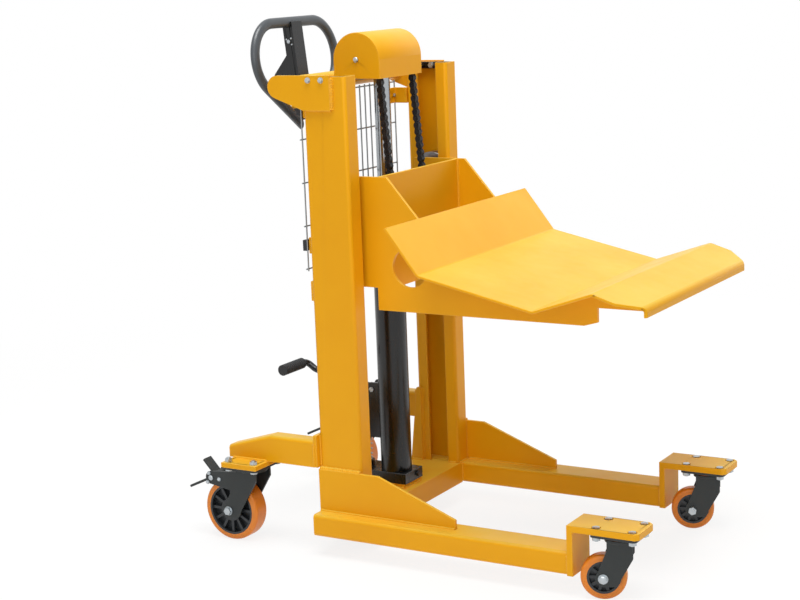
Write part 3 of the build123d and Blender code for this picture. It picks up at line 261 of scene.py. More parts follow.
def grain(tree, where, size, detail, strength, depth):
    """A bump of fine noise, its size and depth in mm."""
    noise = add(tree, "ShaderNodeTexNoise", {
        "Vector": where, "Scale": per_mm(size), "Detail": detail})
    return add(tree, "ShaderNodeBump", {
        "Height": noise.outputs[0], "Strength": strength, "Distance": mm(depth)})


def edge_share(tree, radius, flat, sharp, most):
    """0 where the two normals agree to `flat`, rising to `most` at `sharp`. The radius is in mm."""
    rounded = add(tree, "ShaderNodeBevel", {"Radius": mm(radius)}, samples=4).outputs[0]
    true = add(tree, "ShaderNodeNewGeometry").outputs["True Normal"]
    agree = add(tree, "ShaderNodeVectorMath", {0: rounded, 1: true}, operation="DOT_PRODUCT")
    rise = add(tree, "ShaderNodeMapRange", {
        "Value": agree.outputs["Value"], "From Min": flat, "From Max": sharp, "To Min": 0.0,
        "To Max": most})
    return rise.outputs[0]


def connect(tree, surface, tone, gloss, relief):
    """Links a colour and the nodes for roughness and bump to a finish's surface."""
    tree.links.new(tone, surface.inputs["Base Color"])
    tree.links.new(gloss.outputs[0], surface.inputs["Roughness"])
    tree.links.new(relief.outputs[0], surface.inputs["Normal"])


finishes = {}
print("finishes follow")

# %% [markdown]
# The frame is welded steel under amber powder coat.
# That is a plastic film baked on: satin, with a fine orange peel.
# The film is thin on edges and drifts a little in tone.
# Its edges are paler, partly from wear and partly as a painted highlight.
# Faces that look up are painted paler and yellower:
# partly dust, partly a painted sheen of the light from above.

# %% Amber powder coat
# A satin film: broad soft highlights, slightly redder where it is thick.
# Its pale edges are partly wear and partly a painted highlight.
amber, tree, surface, where = finish("amber_powder_coat", {
    "IOR": 1.5, "Specular IOR Level": 0.18})
drift, film = tones(tree, where, 170, 3.0, "#e09a0a", "#e8a80f")
edge = edge_share(tree, radius=3, flat=0.985, sharp=0.80, most=0.55)
patchiness = add(tree, "ShaderNodeTexNoise", {"Vector": where, "Scale": per_mm(28), "Detail": 4.0})
# Paler edges: partly worn film, partly a painted highlight along them.
pale_edge_share = add(tree, "ShaderNodeMath", {0: edge, 1: patchiness.outputs[0]}, operation="MULTIPLY")
pale_edged = add(tree, "ShaderNodeMix", {
    SHARE: pale_edge_share.outputs[0], TONE_A: film, TONE_B: colour("#f6cf7e")}, data_type="RGBA")
normal = add(tree, "ShaderNodeNewGeometry").outputs["Normal"]
lie = add(tree, "ShaderNodeSeparateXYZ", {0: normal})
# Faces that look up turn paler: partly dust, partly a painted sheen of the light from above.
level_face = add(tree, "ShaderNodeMapRange", {
    "Value": lie.outputs["Z"], "From Min": 0.35, "From Max": 0.85, "To Min": 0.0, "To Max": 1.2})
dust_and_sheen = add(tree, "ShaderNodeMath", {0: level_face.outputs[0], 1: drift}, operation="MULTIPLY")
dusted_and_sheened = add(tree, "ShaderNodeMix", {
    SHARE: dust_and_sheen.outputs[0], TONE_A: pale_edged.outputs[MIXED], TONE_B: colour("#dab944")},
    data_type="RGBA")
gloss = add(tree, "ShaderNodeMapRange", {
    "Value": patchiness.outputs[0], "To Min": 0.30, "To Max": 0.46})
# Orange peel is about 2 mm across; at 7 mm it still shows at this distance.
peel = grain(tree, where, 7, 1.0, strength=0.10, depth=0.4)
connect(tree, surface, dusted_and_sheened.outputs[MIXED], gloss, peel)
finishes["yellow_paint"] = amber
print(amber.name, len(tree.nodes), "nodes")

# %% [markdown]
# The lift cylinder, pump and brackets are brushed with black machine enamel.
# They get wiped with oily rags, which leaves streaks down the cylinder.
# The casters have a coarser, dull grey powder coat, and the handle is moulded in nylon.
# All three are dark, so roughness and grain tell them apart more than colour does.

# %% Black enamel, grey powder coat, moulded nylon
# Enamel: deep black, with streaks where oil was wiped down the cylinder.
enamel, tree, surface, where = finish("black_machine_enamel", {"IOR": 1.5})
run = add(tree, "ShaderNodeMapping", {"Vector": where, "Scale": (1, 1, 0.12)})
smear, tone = tones(tree, run.outputs[0], 14, 5.0, "#070809", "#101112")
gloss = add(tree, "ShaderNodeMapRange", {"Value": smear, "To Min": 0.14, "To Max": 0.38})
brush = grain(tree, where, 9, 2.0, strength=0.12, depth=0.5)
connect(tree, surface, tone, gloss, brush)
finishes["black_paint"] = enamel

# Caster coat: dull dark grey with a fine grit, rubbed paler on its edges.
grit_coat, tree, surface, where = finish("grey_textured_powder_coat", {"IOR": 1.5})
cloud, film = tones(tree, where, 22, 4.0, "#1a1e1e", "#272c2c")
edge = edge_share(tree, radius=1.5, flat=0.98, sharp=0.78, most=0.5)
pale_edge_share = add(tree, "ShaderNodeMath", {0: edge, 1: cloud}, operation="MULTIPLY")
pale_edged = add(tree, "ShaderNodeMix", {
    SHARE: pale_edge_share.outputs[0], TONE_A: film, TONE_B: colour("#8b9090")}, data_type="RGBA")
gloss = add(tree, "ShaderNodeMapRange", {"Value": cloud, "To Min": 0.42, "To Max": 0.60})
# The grit is under 1 mm; it is drawn at 2.5 mm so that it shows.
grit = grain(tree, where, 2.5, 2.0, strength=0.25, depth=0.4)
connect(tree, surface, pale_edged.outputs[MIXED], gloss, grit)
finishes["caster_coat"] = grit_coat

# Moulded nylon: charcoal, spark-eroded grain, polished where hands hold it.
nylon, tree, surface, where = finish("moulded_glass_filled_nylon", {"IOR": 1.53})
hand, tone = tones(tree, where, 60, 3.0, "#373b3f", "#4a4f54")
gloss = add(tree, "ShaderNodeMapRange", {
    "Value": hand, "From Min": 0.3, "From Max": 0.7, "To Min": 0.26, "To Max": 0.44})
# Grain of 0.5 mm, drawn at 2 mm so that it shows.
cells = add(tree, "ShaderNodeTexVoronoi", {"Vector": where, "Scale": per_mm(2)})
relief = add(tree, "ShaderNodeBump", {
    "Height": cells.outputs["Distance"], "Strength": 0.12, "Distance": mm(0.3)})
connect(tree, surface, tone, gloss, relief)
finishes["handle_plastic"] = nylon
print(enamel.name, grit_coat.name, nylon.name)

# %% [markdown]
# Bare and plated metals keep Metallic at 1.
# They differ by tint, roughness and the marks of their making.
# Zinc plate is cloudy and blue-white, and galvanised wire is grey and dull.
# Hard chrome has wiper streaks along the rod, chain is dark with oil, and rollers are turned steel.

# %% Plated and bare metals
# slot: finish name, dark tone, light tone, cloud size in mm, stretch along Z,
# least roughness, most roughness, bump
metals = {
    "zinc": ("bright_zinc_plate", "#a3aaae", "#c8cdd0", 6, 1, 0.24, 0.40, 0.10),
    "wire_zinc": ("galvanised_wire", "#8b9195", "#adb2b5", 9, 0.3, 0.36, 0.55, 0.15),
    "chrome": ("hard_chrome", "#9a9ea2", "#b4b8bb", 8, 0.04, 0.08, 0.20, 0.03),
    "chain_steel": ("oiled_chain_steel", "#262627", "#4d4d4f", 5, 1, 0.26, 0.48, 0.12),
    "steel": ("turned_steel", "#77797c", "#a3a5a7", 7, 1, 0.26, 0.44, 0.10),
    "spring_steel": ("plated_spring_wire", "#a7abad", "#d0d2d3", 5, 1, 0.22, 0.36, 0.08),
}
for slot, (name, dark, light, cloud, stretch, smooth, rough, bump) in metals.items():
    metal, tree, surface, where = finish(name, {"Metallic": 1.0})
    run = add(tree, "ShaderNodeMapping", {"Vector": where, "Scale": (1, 1, stretch)})
    clouds, tone = tones(tree, run.outputs[0], cloud, 4.0, dark, light)
    gloss = add(tree, "ShaderNodeMapRange", {
        "Value": clouds, "From Min": 0.25, "From Max": 0.75, "To Min": smooth, "To Max": rough})
    relief = add(tree, "ShaderNodeBump", {
        "Height": clouds, "Strength": bump, "Distance": mm(0.3)})
    connect(tree, surface, tone, gloss, relief)
    finishes[slot] = metal
print("metals:", ", ".join(finishes[s].name for s in metals))

# %% [markdown]
# The tyres are cast polyurethane, the orange kind: slightly translucent, waxy, dulled by the floor.
# The hubs are injection-moulded nylon, and the swivel seals and pedal sleeve are soft mouldings.
# A little subsurface scattering gives the tyre the glow that a plain orange lacks.

# %% Tyre, hub, seal and rubber
# slot: finish name, dark tone, light tone, mottle in mm, scattering,
# least roughness, most roughness, grain in mm, bump
mouldings = {
    "orange_tyre": ("cast_polyurethane", "#d67614", "#e28620", 26, 0.06, 0.30, 0.46, 6, 0.05),
    "hub_nylon": ("moulded_black_nylon", "#1f2225", "#2e3236", 18, 0.0, 0.30, 0.48, 3, 0.08),
    "orange_seal": ("orange_seal_plastic", "#b05a20", "#c97030", 12, 0.0, 0.40, 0.55, 4, 0.05),
    "black_rubber": ("moulded_black_rubber", "#17181a", "#26272a", 14, 0.0, 0.50, 0.68, 3, 0.15),
}
for slot, (name, dark, light, mottle, glow, smooth, rough, fine, bump) in mouldings.items():
    plastic, tree, surface, where = finish(name, {
        "IOR": 1.5, "Subsurface Weight": glow, "Subsurface Radius": (mm(4), mm(2), mm(0.6))})
    clouds, tone = tones(tree, where, mottle, 4.0, dark, light)
    gloss = add(tree, "ShaderNodeMapRange", {
        "Value": clouds, "From Min": 0.25, "From Max": 0.75, "To Min": smooth, "To Max": rough})
    connect(tree, surface, tone, gloss, grain(tree, where, fine, 2.0, strength=bump, depth=0.4))
    finishes[slot] = plastic
print("mouldings:", ", ".join(finishes[s].name for s in mouldings))

# %% [markdown]
# ## The solids that stay
# Most solids already have their real shape, so they only need the finish that the record names.
# Sheared plate and bent sheet never have knife edges, and the small radius catches the light.
# A Weld modifier joins each solid's loose triangles, and a Bevel modifier rounds its corners.

# %% Give every CAD node its finish
SAME_POINT = 1e-6
CORNER = math.radians(34)
edge_radius = {"yellow_paint": 1.4, "caster_coat": 0.9, "black_paint": 1.0,
               "handle_plastic": 0.8, "zinc": 0.6}


def soften(piece, radius):
    """Rounds the sharp corners of a piece, radius in mm."""
    weld = piece.modifiers.new("join", "WELD")
    weld.merge_threshold = SAME_POINT
    round_off = piece.modifiers.new("round", "BEVEL")
    round_off.width = mm(radius)
    round_off.segments = 2
    round_off.limit_method = "ANGLE"
    round_off.angle_limit = CORNER


slots = {row["node"]: row["material_slot"] for row in frame["record"]["subparts"]}
for name, node in nodes.items():
    node.data.materials.clear()
    node.data.materials.append(finishes[slots[name]])
    if slots[name] in edge_radius:
        soften(node, edge_radius[slots[name]])
print(len(nodes), "nodes dressed from", len(finishes), "finishes")

# %% [markdown]
# ## Pieces grown by Geometry Nodes
# Wire, chain, spring, bolts, ribs and welds all repeat along a path.
# That is what Geometry Nodes are for.
# A tree gets a path of points and a few named sizes.
# Its last nodes make the instances real and set the finish.
# The result becomes a plain mesh at once, so nothing procedural is left among the finished pieces.

# %% Start, end and run a geometry tree
CREASE = math.radians(38)


def start_tree(name, sizes):
    """A geometry tree with a path and named sizes. Whole numbers are counts, the rest mm."""
    tree = bpy.data.node_groups.new(name, "GeometryNodeTree")
    tree.interface.new_socket("Path", in_out="INPUT", socket_type="NodeSocketGeometry")
    for size, value in sizes.items():
        count = isinstance(value, int)
        kind = "NodeSocketInt" if count else "NodeSocketFloat"
        socket = tree.interface.new_socket(size, in_out="INPUT", socket_type=kind)
        socket.default_value = value if count else mm(value)
    tree.interface.new_socket("Piece", in_out="OUTPUT", socket_type="NodeSocketGeometry")
    return tree, add(tree, "NodeGroupInput").outputs


def end_tree(tree, geometry, material):
    """Real meshes in place of instances, then the finish."""
    real = add(tree, "GeometryNodeRealizeInstances", {0: geometry}).outputs[0]
    faced = add(tree, "GeometryNodeSetMaterial", {"Geometry": real, "Material": material})
    add(tree, "NodeGroupOutput", {0: faced.outputs[0]})


def crease(mesh):
    """Smooth shading that breaks at the creases."""
    mesh.shade_smooth()
    mesh.set_sharp_from_angle(angle=CREASE)


def grow(name, tree, points, edges=(), ways=None, **sizes):
    """Runs a tree on points, with a direction for each if given, and keeps the result as a mesh.

    Sizes that differ from the tree's own are given in mm, and counts as they are.
    """
    path = bpy.data.meshes.new(name)
    path.from_pydata(points, edges, [])
    if ways:
        layer = path.attributes.new("way", "FLOAT_VECTOR", "POINT")
        for item, way in zip(layer.data, ways):
            item.vector = way
    piece = bpy.data.objects.new(name, path)
    scene.collection.objects.link(piece)
    modifier = piece.modifiers.new("grow", "NODES")
    modifier.node_group = tree
    sockets = {item.name: item for item in tree.interface.items_tree if item.in_out == "INPUT"}
    for size, value in sizes.items():
        socket = sockets[size.replace("_", " ")]
        count = socket.socket_type == "NodeSocketInt"
        modifier[socket.identifier] = value if count else mm(value)
    evaluated = piece.evaluated_get(bpy.context.evaluated_depsgraph_get())
    made = bpy.data.meshes.new_from_object(evaluated)
    piece.modifiers.clear()
    piece.data = made
    # The new mesh can hold an empty material slot, so only the tree's finish is kept.
    finish_of_tree = [kept for kept in made.materials if kept][0]
    made.materials.clear()
    made.materials.append(finish_of_tree)
    made.polygons.foreach_set("material_index", [0] * len(made.polygons))
    crease(made)
    return piece


def gather(name, pieces):
    """Several grown pieces of one finish as a single mesh."""
    whole = bmesh.new()
    for piece in pieces:
        whole.from_mesh(piece.data)
    made = bpy.data.meshes.new(name)
    whole.to_mesh(made)
    whole.free()
    made.materials.append(pieces[0].data.materials[0])
    for piece in pieces:
        bpy.data.objects.remove(piece)
    one = bpy.data.objects.new(name, made)
    scene.collection.objects.link(one)
    crease(made)
    return one


def tell(piece):
    """Prints what a cell made."""
    print(piece.name, len(piece.data.polygons), "faces")


print("helpers ready")

# %% [markdown]
# The guard behind the mast keeps hands out of the chains.
# It is made of straight wires, spot-welded where they cross.
# It could be a grid texture on a sheet, but the gaps must be open and the wires round.
# One bar and one row are swept once and set out by count, rows lapped behind bars.

# %% Welded wire guard
def sweep(tree, curve, sides, radius=1.0, scale=1.0):
    """A bar along a curve: a circle of this radius, times a scale that may vary on the way."""
    ring = add(tree, "GeometryNodeCurvePrimitiveCircle", {"Resolution": sides, "Radius": radius})
    return add(tree, "GeometryNodeCurveToMesh", {
        "Curve": curve, "Profile Curve": ring.outputs[0], "Scale": scale,
        "Fill Caps": True}).outputs[0]


tree, size = start_tree("welded_wire_mesh", {
    "Width": 420.0, "Height": 400.0, "Overhang": 5.0, "Bars": 19, "Rows": 5,
    "Wire radius": 1.75, "Lap": 2.4})
grids = add(tree, "GeometryNodeJoinGeometry")
back = add(tree, "ShaderNodeMath", {0: size["Overhang"], 1: -1.0}, operation="MULTIPLY").outputs[0]
lapped = add(tree, "ShaderNodeMath", {0: size["Lap"], 1: -1.0}, operation="MULTIPLY").outputs[0]
for count, spread, reach, along, across in (("Bars", "Width", "Height", "Z", "Y"),
                                            ("Rows", "Height", "Width", "Y", "Z")):
    gaps = add(tree, "ShaderNodeMath", {0: size[count], 1: 1.0}, operation="SUBTRACT").outputs[0]
    pitch_of = add(tree, "ShaderNodeMath", {0: size[spread], 1: gaps}, operation="DIVIDE")
    step = add(tree, "ShaderNodeCombineXYZ", {across: pitch_of.outputs[0]})
    feet = add(tree, "GeometryNodeMeshLine", {"Count": size[count], "Offset": step.outputs[0]})
    far = add(tree, "ShaderNodeMath", {0: size[reach], 1: size["Overhang"]})
    start = add(tree, "ShaderNodeCombineXYZ", {along: back})
    end = add(tree, "ShaderNodeCombineXYZ", {along: far.outputs[0]})
    if count == "Rows":
        tree.links.new(lapped, start.inputs["X"])
        tree.links.new(lapped, end.inputs["X"])
    line = add(tree, "GeometryNodeCurvePrimitiveLine", {
        "Start": start.outputs[0], "End": end.outputs[0]})
    wire = sweep(tree, line.outputs[0], 10, radius=size["Wire radius"])
    rank = add(tree, "GeometryNodeInstanceOnPoints", {"Points": feet.outputs[0], "Instance": wire})
    tree.links.new(rank.outputs[0], grids.inputs[0])
stood = add(tree, "GeometryNodeInstanceOnPoints", {
    "Points": size["Path"], "Instance": grids.outputs[0]})
end_tree(tree, stood.outputs[0], finishes["wire_zinc"])
guard = grow("guard_wires", tree, [place(-94, -210, 662)])
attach(guard, "chassis")
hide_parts("wire_guard")
tell(guard)

# %% [markdown]
# Lift trucks hang their load on leaf chain: waisted plates laced on pins, over smooth pulleys.
# Its pitch here is 15.875 mm, which is five eighths of an inch.
# That agrees with the spacing of the scallops in the photograph.
# Two small link meshes are drawn as outlines here, and the tree below lays them in turn.

# %% Two links of the leaf chain
PITCH = 15.875
PLATE_R, WAIST, HALF_PLATE = 7.35, 4.8, 1.3
PIN_R, HALF_PIN, PIN_SIDES = 2.9, 7.5, 8
# Each end of a plate is an arc in degrees, from the waist on one side to the other.
ARC_START, ARC_STEP, ARC_POINTS = -114, 38, 7


def chain_link(name, plates, pins):
    """A link along X: waisted plates at these Y places, with or without its pins. Sizes in mm."""
    outline = []
    for side in (1, -1):
        for step in range(ARC_POINTS):
            angle = math.radians(ARC_START + ARC_STEP * step)
            outline.append((side * (PITCH / 2 + PLATE_R * math.cos(angle)),
                            side * PLATE_R * math.sin(angle)))
        outline.append((0, side * WAIST))
    shapes = [(outline, y - HALF_PLATE, y + HALF_PLATE) for y in plates]
    if pins:
        turns = [math.tau * k / PIN_SIDES for k in range(PIN_SIDES)]
        for x in (-PITCH / 2, PITCH / 2):
            ring = [(x + PIN_R * math.cos(t), PIN_R * math.sin(t)) for t in turns]
            shapes.append((ring, -HALF_PIN, HALF_PIN))
    link = bmesh.new()
    for points, low, high in shapes:
        face = link.faces.new([link.verts.new((mm(x), mm(low), mm(z))) for x, z in points])
        grown = bmesh.ops.extrude_face_region(link, geom=[face])["geom"]
        bmesh.ops.translate(link, verts=[g for g in grown if isinstance(g, bmesh.types.BMVert)],
                            vec=(0, mm(high - low), 0))
    bmesh.ops.recalc_face_normals(link, faces=link.faces)
    made = bpy.data.meshes.new(name)
    link.to_mesh(made)
    link.free()
    return bpy.data.objects.new(name, made)


links = [chain_link("outer_link", (-5.4, 0, 5.4), True),
         chain_link("inner_link", (-2.7, 2.7), False)]
print([(link.name, len(link.data.polygons)) for link in links], "faces")

# %% [markdown]
# The tree walks along a path in steps of one pitch and sets an outer or an inner link at each.
# It takes the first and last link to keep, so that one path can give several pieces.
# The whole strand is then set twice, because the machine has two chains.

# %% Tree of the leaf chain
INT_A, INT_B = 2, 3  # the whole-number sockets of a Compare node
tree, size = start_tree("leaf_chain", {"Pitch": PITCH, "First": 0, "Last": 30, "Spread": 148.0})
run = add(tree, "GeometryNodeMeshToCurve", {0: size["Path"]})
spots = add(tree, "GeometryNodeCurveToPoints", {
    "Curve": run.outputs[0], "Length": size["Pitch"]}, mode="LENGTH")
aim = add(tree, "FunctionNodeAlignRotationToVector", {"Vector": spots.outputs["Tangent"]},
          axis="X", pivot_axis="Y")
number = add(tree, "GeometryNodeInputIndex").outputs[0]
after = add(tree, "FunctionNodeCompare", {INT_A: number, INT_B: size["First"]},
            data_type="INT", operation="GREATER_EQUAL")
before = add(tree, "FunctionNodeCompare", {INT_A: number, INT_B: size["Last"]},
             data_type="INT", operation="LESS_EQUAL")
kept = add(tree, "FunctionNodeBooleanMath", {0: after.outputs[0], 1: before.outputs[0]},
           operation="AND")
odd = add(tree, "ShaderNodeMath", {0: number, 1: 2.0}, operation="MODULO")
strands = add(tree, "GeometryNodeJoinGeometry")
for link, operation in zip(links, ("AND", "NIMPLY")):
    chosen = add(tree, "FunctionNodeBooleanMath", {0: kept.outputs[0], 1: odd.outputs[0]},
                 operation=operation)
    shape = add(tree, "GeometryNodeObjectInfo", {"Object": link})
    laid = add(tree, "GeometryNodeInstanceOnPoints", {
        "Points": spots.outputs["Points"], "Selection": chosen.outputs[0],
        "Instance": shape.outputs["Geometry"], "Rotation": aim.outputs[0]})
    tree.links.new(laid.outputs[0], strands.inputs[0])
half = add(tree, "ShaderNodeMath", {0: size["Spread"], 1: -0.5}, operation="MULTIPLY")
side = add(tree, "ShaderNodeCombineXYZ", {"Y": half.outputs[0]})
across = add(tree, "ShaderNodeCombineXYZ", {"Y": size["Spread"]})
both = add(tree, "GeometryNodeMeshLine", {
    "Count": 2, "Start Location": side.outputs[0], "Offset": across.outputs[0]})
pair = add(tree, "GeometryNodeInstanceOnPoints", {
    "Points": both.outputs[0], "Instance": strands.outputs[0]})
end_tree(tree, pair.outputs[0], finishes["chain_steel"])
print("chain tree has", len(tree.nodes), "nodes")

# %% [markdown]
# The path goes up from the anchor on the crossbeam, over the pulley, and down to the carriage.
# The strand behind hangs between frame and ram, the one in front between ram and carriage.
# Each strand is a piece of its own.
# The links over the pulley are a third piece, which rides on the ram.

# %% The lifting chains
pulley_x, pulley_z, chain_r = -11, 1136, 44
rear_end_z, front_end = 662, (70.2, 690)
leave = math.radians(4.75)  # where the chain leaves the pulley, above its middle
PULLEY_STEPS, PAST_THE_END = 36, 999
route = [(pulley_x - chain_r, rear_end_z), (pulley_x - chain_r, pulley_z)]
for step in range(1, PULLEY_STEPS + 1):
    angle = math.pi - (math.pi - leave) * step / PULLEY_STEPS
    route.append((pulley_x + chain_r * math.cos(angle), pulley_z + chain_r * math.sin(angle)))
route.append(front_end)
points = [place(x, 0, z) for x, z in route]
edges = [(k, k + 1) for k in range(len(points) - 1)]
rear_length = pulley_z - rear_end_z
last_rear = int(rear_length / PITCH)
last_over = int((rear_length + chain_r * (math.pi - leave)) / PITCH)
rear_strands = grow("rear_chain_links", tree, points, edges, First=0, Last=last_rear)
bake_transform(rear_strands)
wraps = grow("pulley_chain_links", tree, points, edges, First=last_rear + 1, Last=last_over)
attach(wraps, "ram")
front_strands = grow("front_chain_links", tree, points, edges, First=last_over + 1,
                     Last=PAST_THE_END)
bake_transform(front_strands)
for piece, node in ((rear_strands, "rear_chains"), (wraps, "chain_wraps"),
                    (front_strands, "front_chains")):
    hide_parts(node)
for link in links:
    bpy.data.objects.remove(link)
print(last_rear + 1, "links behind the mast,", last_over - last_rear, "over each pulley")

# %% [markdown]
# The pump's return spring is cold-wound wire with closed ends: the last turns touch each other.
# A plain spiral would rise evenly and end in the air.
# A smooth step on the height along the wire packs the end turns and opens the middle ones.

# %% Pump return spring
tree, size = start_tree("closed_end_spring", {
    "Mean radius": 13.0, "Wire radius": 2.0, "Height": 56.0, "Turns": 6})
thick = add(tree, "ShaderNodeMath", {0: size["Wire radius"], 1: 2.0}, operation="MULTIPLY")
rise = add(tree, "ShaderNodeMath", {0: size["Height"], 1: thick.outputs[0]}, operation="SUBTRACT")
top = add(tree, "ShaderNodeMath", {0: rise.outputs[0], 1: size["Wire radius"]})
coil = add(tree, "GeometryNodeCurveSpiral", {
    "Resolution": 24, "Rotations": size["Turns"], "Height": 0.0,
    "Start Radius": size["Mean radius"], "End Radius": size["Mean radius"]})
along = add(tree, "GeometryNodeSplineParameter").outputs["Factor"]
high = add(tree, "ShaderNodeMapRange", {
    "Value": along, "To Min": size["Wire radius"], "To Max": top.outputs[0]},
    interpolation_type="SMOOTHSTEP")
lift = add(tree, "ShaderNodeCombineXYZ", {"Z": high.outputs[0]})
wound = add(tree, "GeometryNodeSetPosition", {
    "Geometry": coil.outputs[0], "Offset": lift.outputs[0]})
wire = sweep(tree, wound.outputs[0], 10, radius=size["Wire radius"])
seated = add(tree, "GeometryNodeInstanceOnPoints", {"Points": size["Path"], "Instance": wire})
end_tree(tree, seated.outputs[0], finishes["spring_steel"])
spring = grow("pump_return_spring", tree, [place(-88, 0, 150.4)])
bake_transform(spring)
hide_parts("pump_spring")
tell(spring)

# %% [markdown]
# Zinc-plated hexagon bolts hold the machine together.
# Each has a washer, a chamfered head and a nut.
# Modelling every bolt by hand would be slow and uneven.
# The tree stacks five cones with cut tops into one bolt along Z.
# It then turns a copy to the direction that each point carries.

# %% A bolt from five cut cones
bolt, size = start_tree("bolt", {
    "Sides": 6, "Head radius": 7.5, "Head height": 4.0, "Crown": 1.2, "Washer radius": 8.5,
    "Washer": 1.4, "Shank": 4.0, "Length": 34.0, "Grip": 24.0, "Nut radius": 7.5,
    "Nut height": 6.5})
head, washer, shank, nut = (
    size[name] for name in ("Head radius", "Washer radius", "Shank", "Nut radius"))
crown_low = add(bolt, "ShaderNodeMath", {0: size["Washer"], 1: size["Head height"]}).outputs[0]
crown_top = add(bolt, "ShaderNodeMath", {0: head, 1: 0.8}, operation="MULTIPLY").outputs[0]
tail = add(bolt, "ShaderNodeMath", {0: size["Length"], 1: -1.0}, operation="MULTIPLY").outputs[0]
deep = add(bolt, "ShaderNodeMath", {0: size["Grip"], 1: size["Nut height"]}).outputs[0]
nut_low = add(bolt, "ShaderNodeMath", {0: deep, 1: -1.0}, operation="MULTIPLY").outputs[0]
stack = add(bolt, "GeometryNodeJoinGeometry")
for sides, low_r, top_r, low, height in (
        (24, washer, washer, 0.0, size["Washer"]),
        (size["Sides"], head, head, size["Washer"], size["Head height"]),
        (size["Sides"], head, crown_top, crown_low, size["Crown"]),
        (12, shank, shank, tail, size["Length"]),
        (6, nut, nut, nut_low, size["Nut height"])):
    cone = add(bolt, "GeometryNodeMeshCone", {
        "Vertices": sides, "Radius Bottom": low_r, "Radius Top": top_r, "Depth": height})
    shift = add(bolt, "ShaderNodeCombineXYZ", {"Z": low})
    moved = add(bolt, "GeometryNodeTransform", {
        "Geometry": cone.outputs[0], "Translation": shift.outputs[0]})
    bolt.links.new(moved.outputs[0], stack.inputs[0])
way = add(bolt, "GeometryNodeInputNamedAttribute", {"Name": "way"}, data_type="FLOAT_VECTOR")
aim = add(bolt, "FunctionNodeAlignRotationToVector", {"Vector": way.outputs[0]}, axis="Z")
set_in = add(bolt, "GeometryNodeInstanceOnPoints", {
    "Points": size["Path"], "Instance": stack.outputs[0], "Rotation": aim.outputs[0]})
end_tree(bolt, set_in.outputs[0], finishes["zinc"])
RIGHT, LEFT, FRONT, UP, DOWN = (0, -1, 0), (0, 1, 0), (1, 0, 0), (0, 0, 1), (0, 0, -1)
print("bolt tree has", len(bolt.nodes), "nodes")

# %% [markdown]
# The frame's bolts sit where the CAD bolts are.
# They hold the stops at the mast's top, the guard's brackets and the handle's tongue.
# The two pivot pins are bolts too, with round heads and hardly a washer.
# All of them stay on the frame, so they become one mesh.

# %% Bolts of the frame
lug_face, stop_z = 264.5, 1101.5
stops = [(x, side) for x in (-36, -2) for side in (1, -1)]
stop_bolts = grow(
    "stop_bolts", bolt, [place(x, lug_face * side, stop_z) for x, side in stops],
    ways=[(0, side, 0) for x, side in stops], Head_radius=6, Head_height=3.4, Washer_radius=6.8,
    Washer=1, Grip=25.5, Length=33.5)
corners = [(y, z) for y in (-198.33, 198.33) for z in (717, 1030)]
guard_bolts = grow(
    "guard_bolts", bolt, [place(-88, y, z) for y, z in corners], ways=[FRONT] * 4,
    Head_radius=4.4, Head_height=2, Crown=0.8, Washer_radius=4.6, Washer=0.6, Shank=3, Grip=18,
    Length=22, Nut_radius=5.5, Nut_height=3)
tongue_bolts = grow(
    "tongue_bolts", bolt, [place(-232, 30, 1065), place(-228.2, 30, 1030)], ways=[LEFT] * 2,
    Washer_radius=8.2, Washer=1, Grip=60, Length=68)
pedal_pin = grow(
    "pedal_pin", bolt, [place(-54, 20, 335)], ways=[LEFT], Sides=20, Head_radius=6.6,
    Head_height=2, Crown=1, Washer_radius=6.6, Washer=0.2, Shank=6, Grip=40, Length=43,
    Nut_radius=6.6, Nut_height=3)
screws = [(-251.4, 1180.6), (-238.3, 1182.8), (-236.3, 1168.6)]
spine_screws = grow(
    "spine_screws", bolt, [place(x, 22 * side, z) for x, z in screws for side in (1, -1)],
    ways=[LEFT, RIGHT] * 3, Sides=12, Head_radius=2.2, Head_height=0.6, Crown=0.7,
    Washer_radius=2.2, Washer=0.2, Shank=1.5, Grip=1, Length=4, Nut_radius=1.5, Nut_height=1)
lever_pin = grow(
    "lever_pin", bolt, [place(-243.9, 22, 1175.8)], ways=[LEFT], Sides=20, Head_radius=5,
    Head_height=2.4, Crown=1, Washer_radius=5, Washer=0.4, Grip=44, Length=48, Nut_radius=5,
    Nut_height=3.8)
frame_bolts = gather("frame_bolts_and_pins", [
    stop_bolts, guard_bolts, tongue_bolts, pedal_pin, spine_screws, lever_pin])
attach(frame_bolts, "chassis")
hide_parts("frame_bolts")
tell(frame_bolts)

# %% [markdown]
# Four bolts hold each caster plate.
# In front their heads are let into the bracket, with the nuts under the plate.
# Behind they stand the other way up, so that the nut and the shank's end show beside the arm.

# %% Bolts of the casters
front_spots = [(x, y) for x in (659.5, 742.5) for y in (-293, -227, 227, 293)]
front_bolts = grow(
    "front_caster_bolts", bolt, [place(x, y, 158) for x, y in front_spots], ways=[UP] * 8,
    Head_radius=9, Head_height=4.6, Crown=0.8, Washer_radius=9.6, Washer=0.4, Shank=5, Grip=16,
    Length=26, Nut_radius=9.5, Nut_height=8)
rear_spots = [(x, y) for x in (-283, -211) for y in (-308, -212, 212, 308)]
rear_bolts = grow(
    "rear_caster_bolts", bolt, [place(x, y, 187) for x, y in rear_spots], ways=[DOWN] * 8,
    Head_radius=9.2, Crown=1, Washer_radius=9.6, Washer=0.6, Shank=5, Grip=17, Length=28,
    Nut_radius=9.5, Nut_height=8)
caster_bolts = gather("caster_bolts_and_nuts", [front_bolts, rear_bolts])
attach(caster_bolts, "chassis")
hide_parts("caster_bolts")
tell(caster_bolts)

# %% [markdown]
# Each caster fork is pressed steel in grey coat, but its axle and brake pin are zinc-plated.
# One CAD node holds them all, so a copy of its tallest solid keeps the fork's shape.

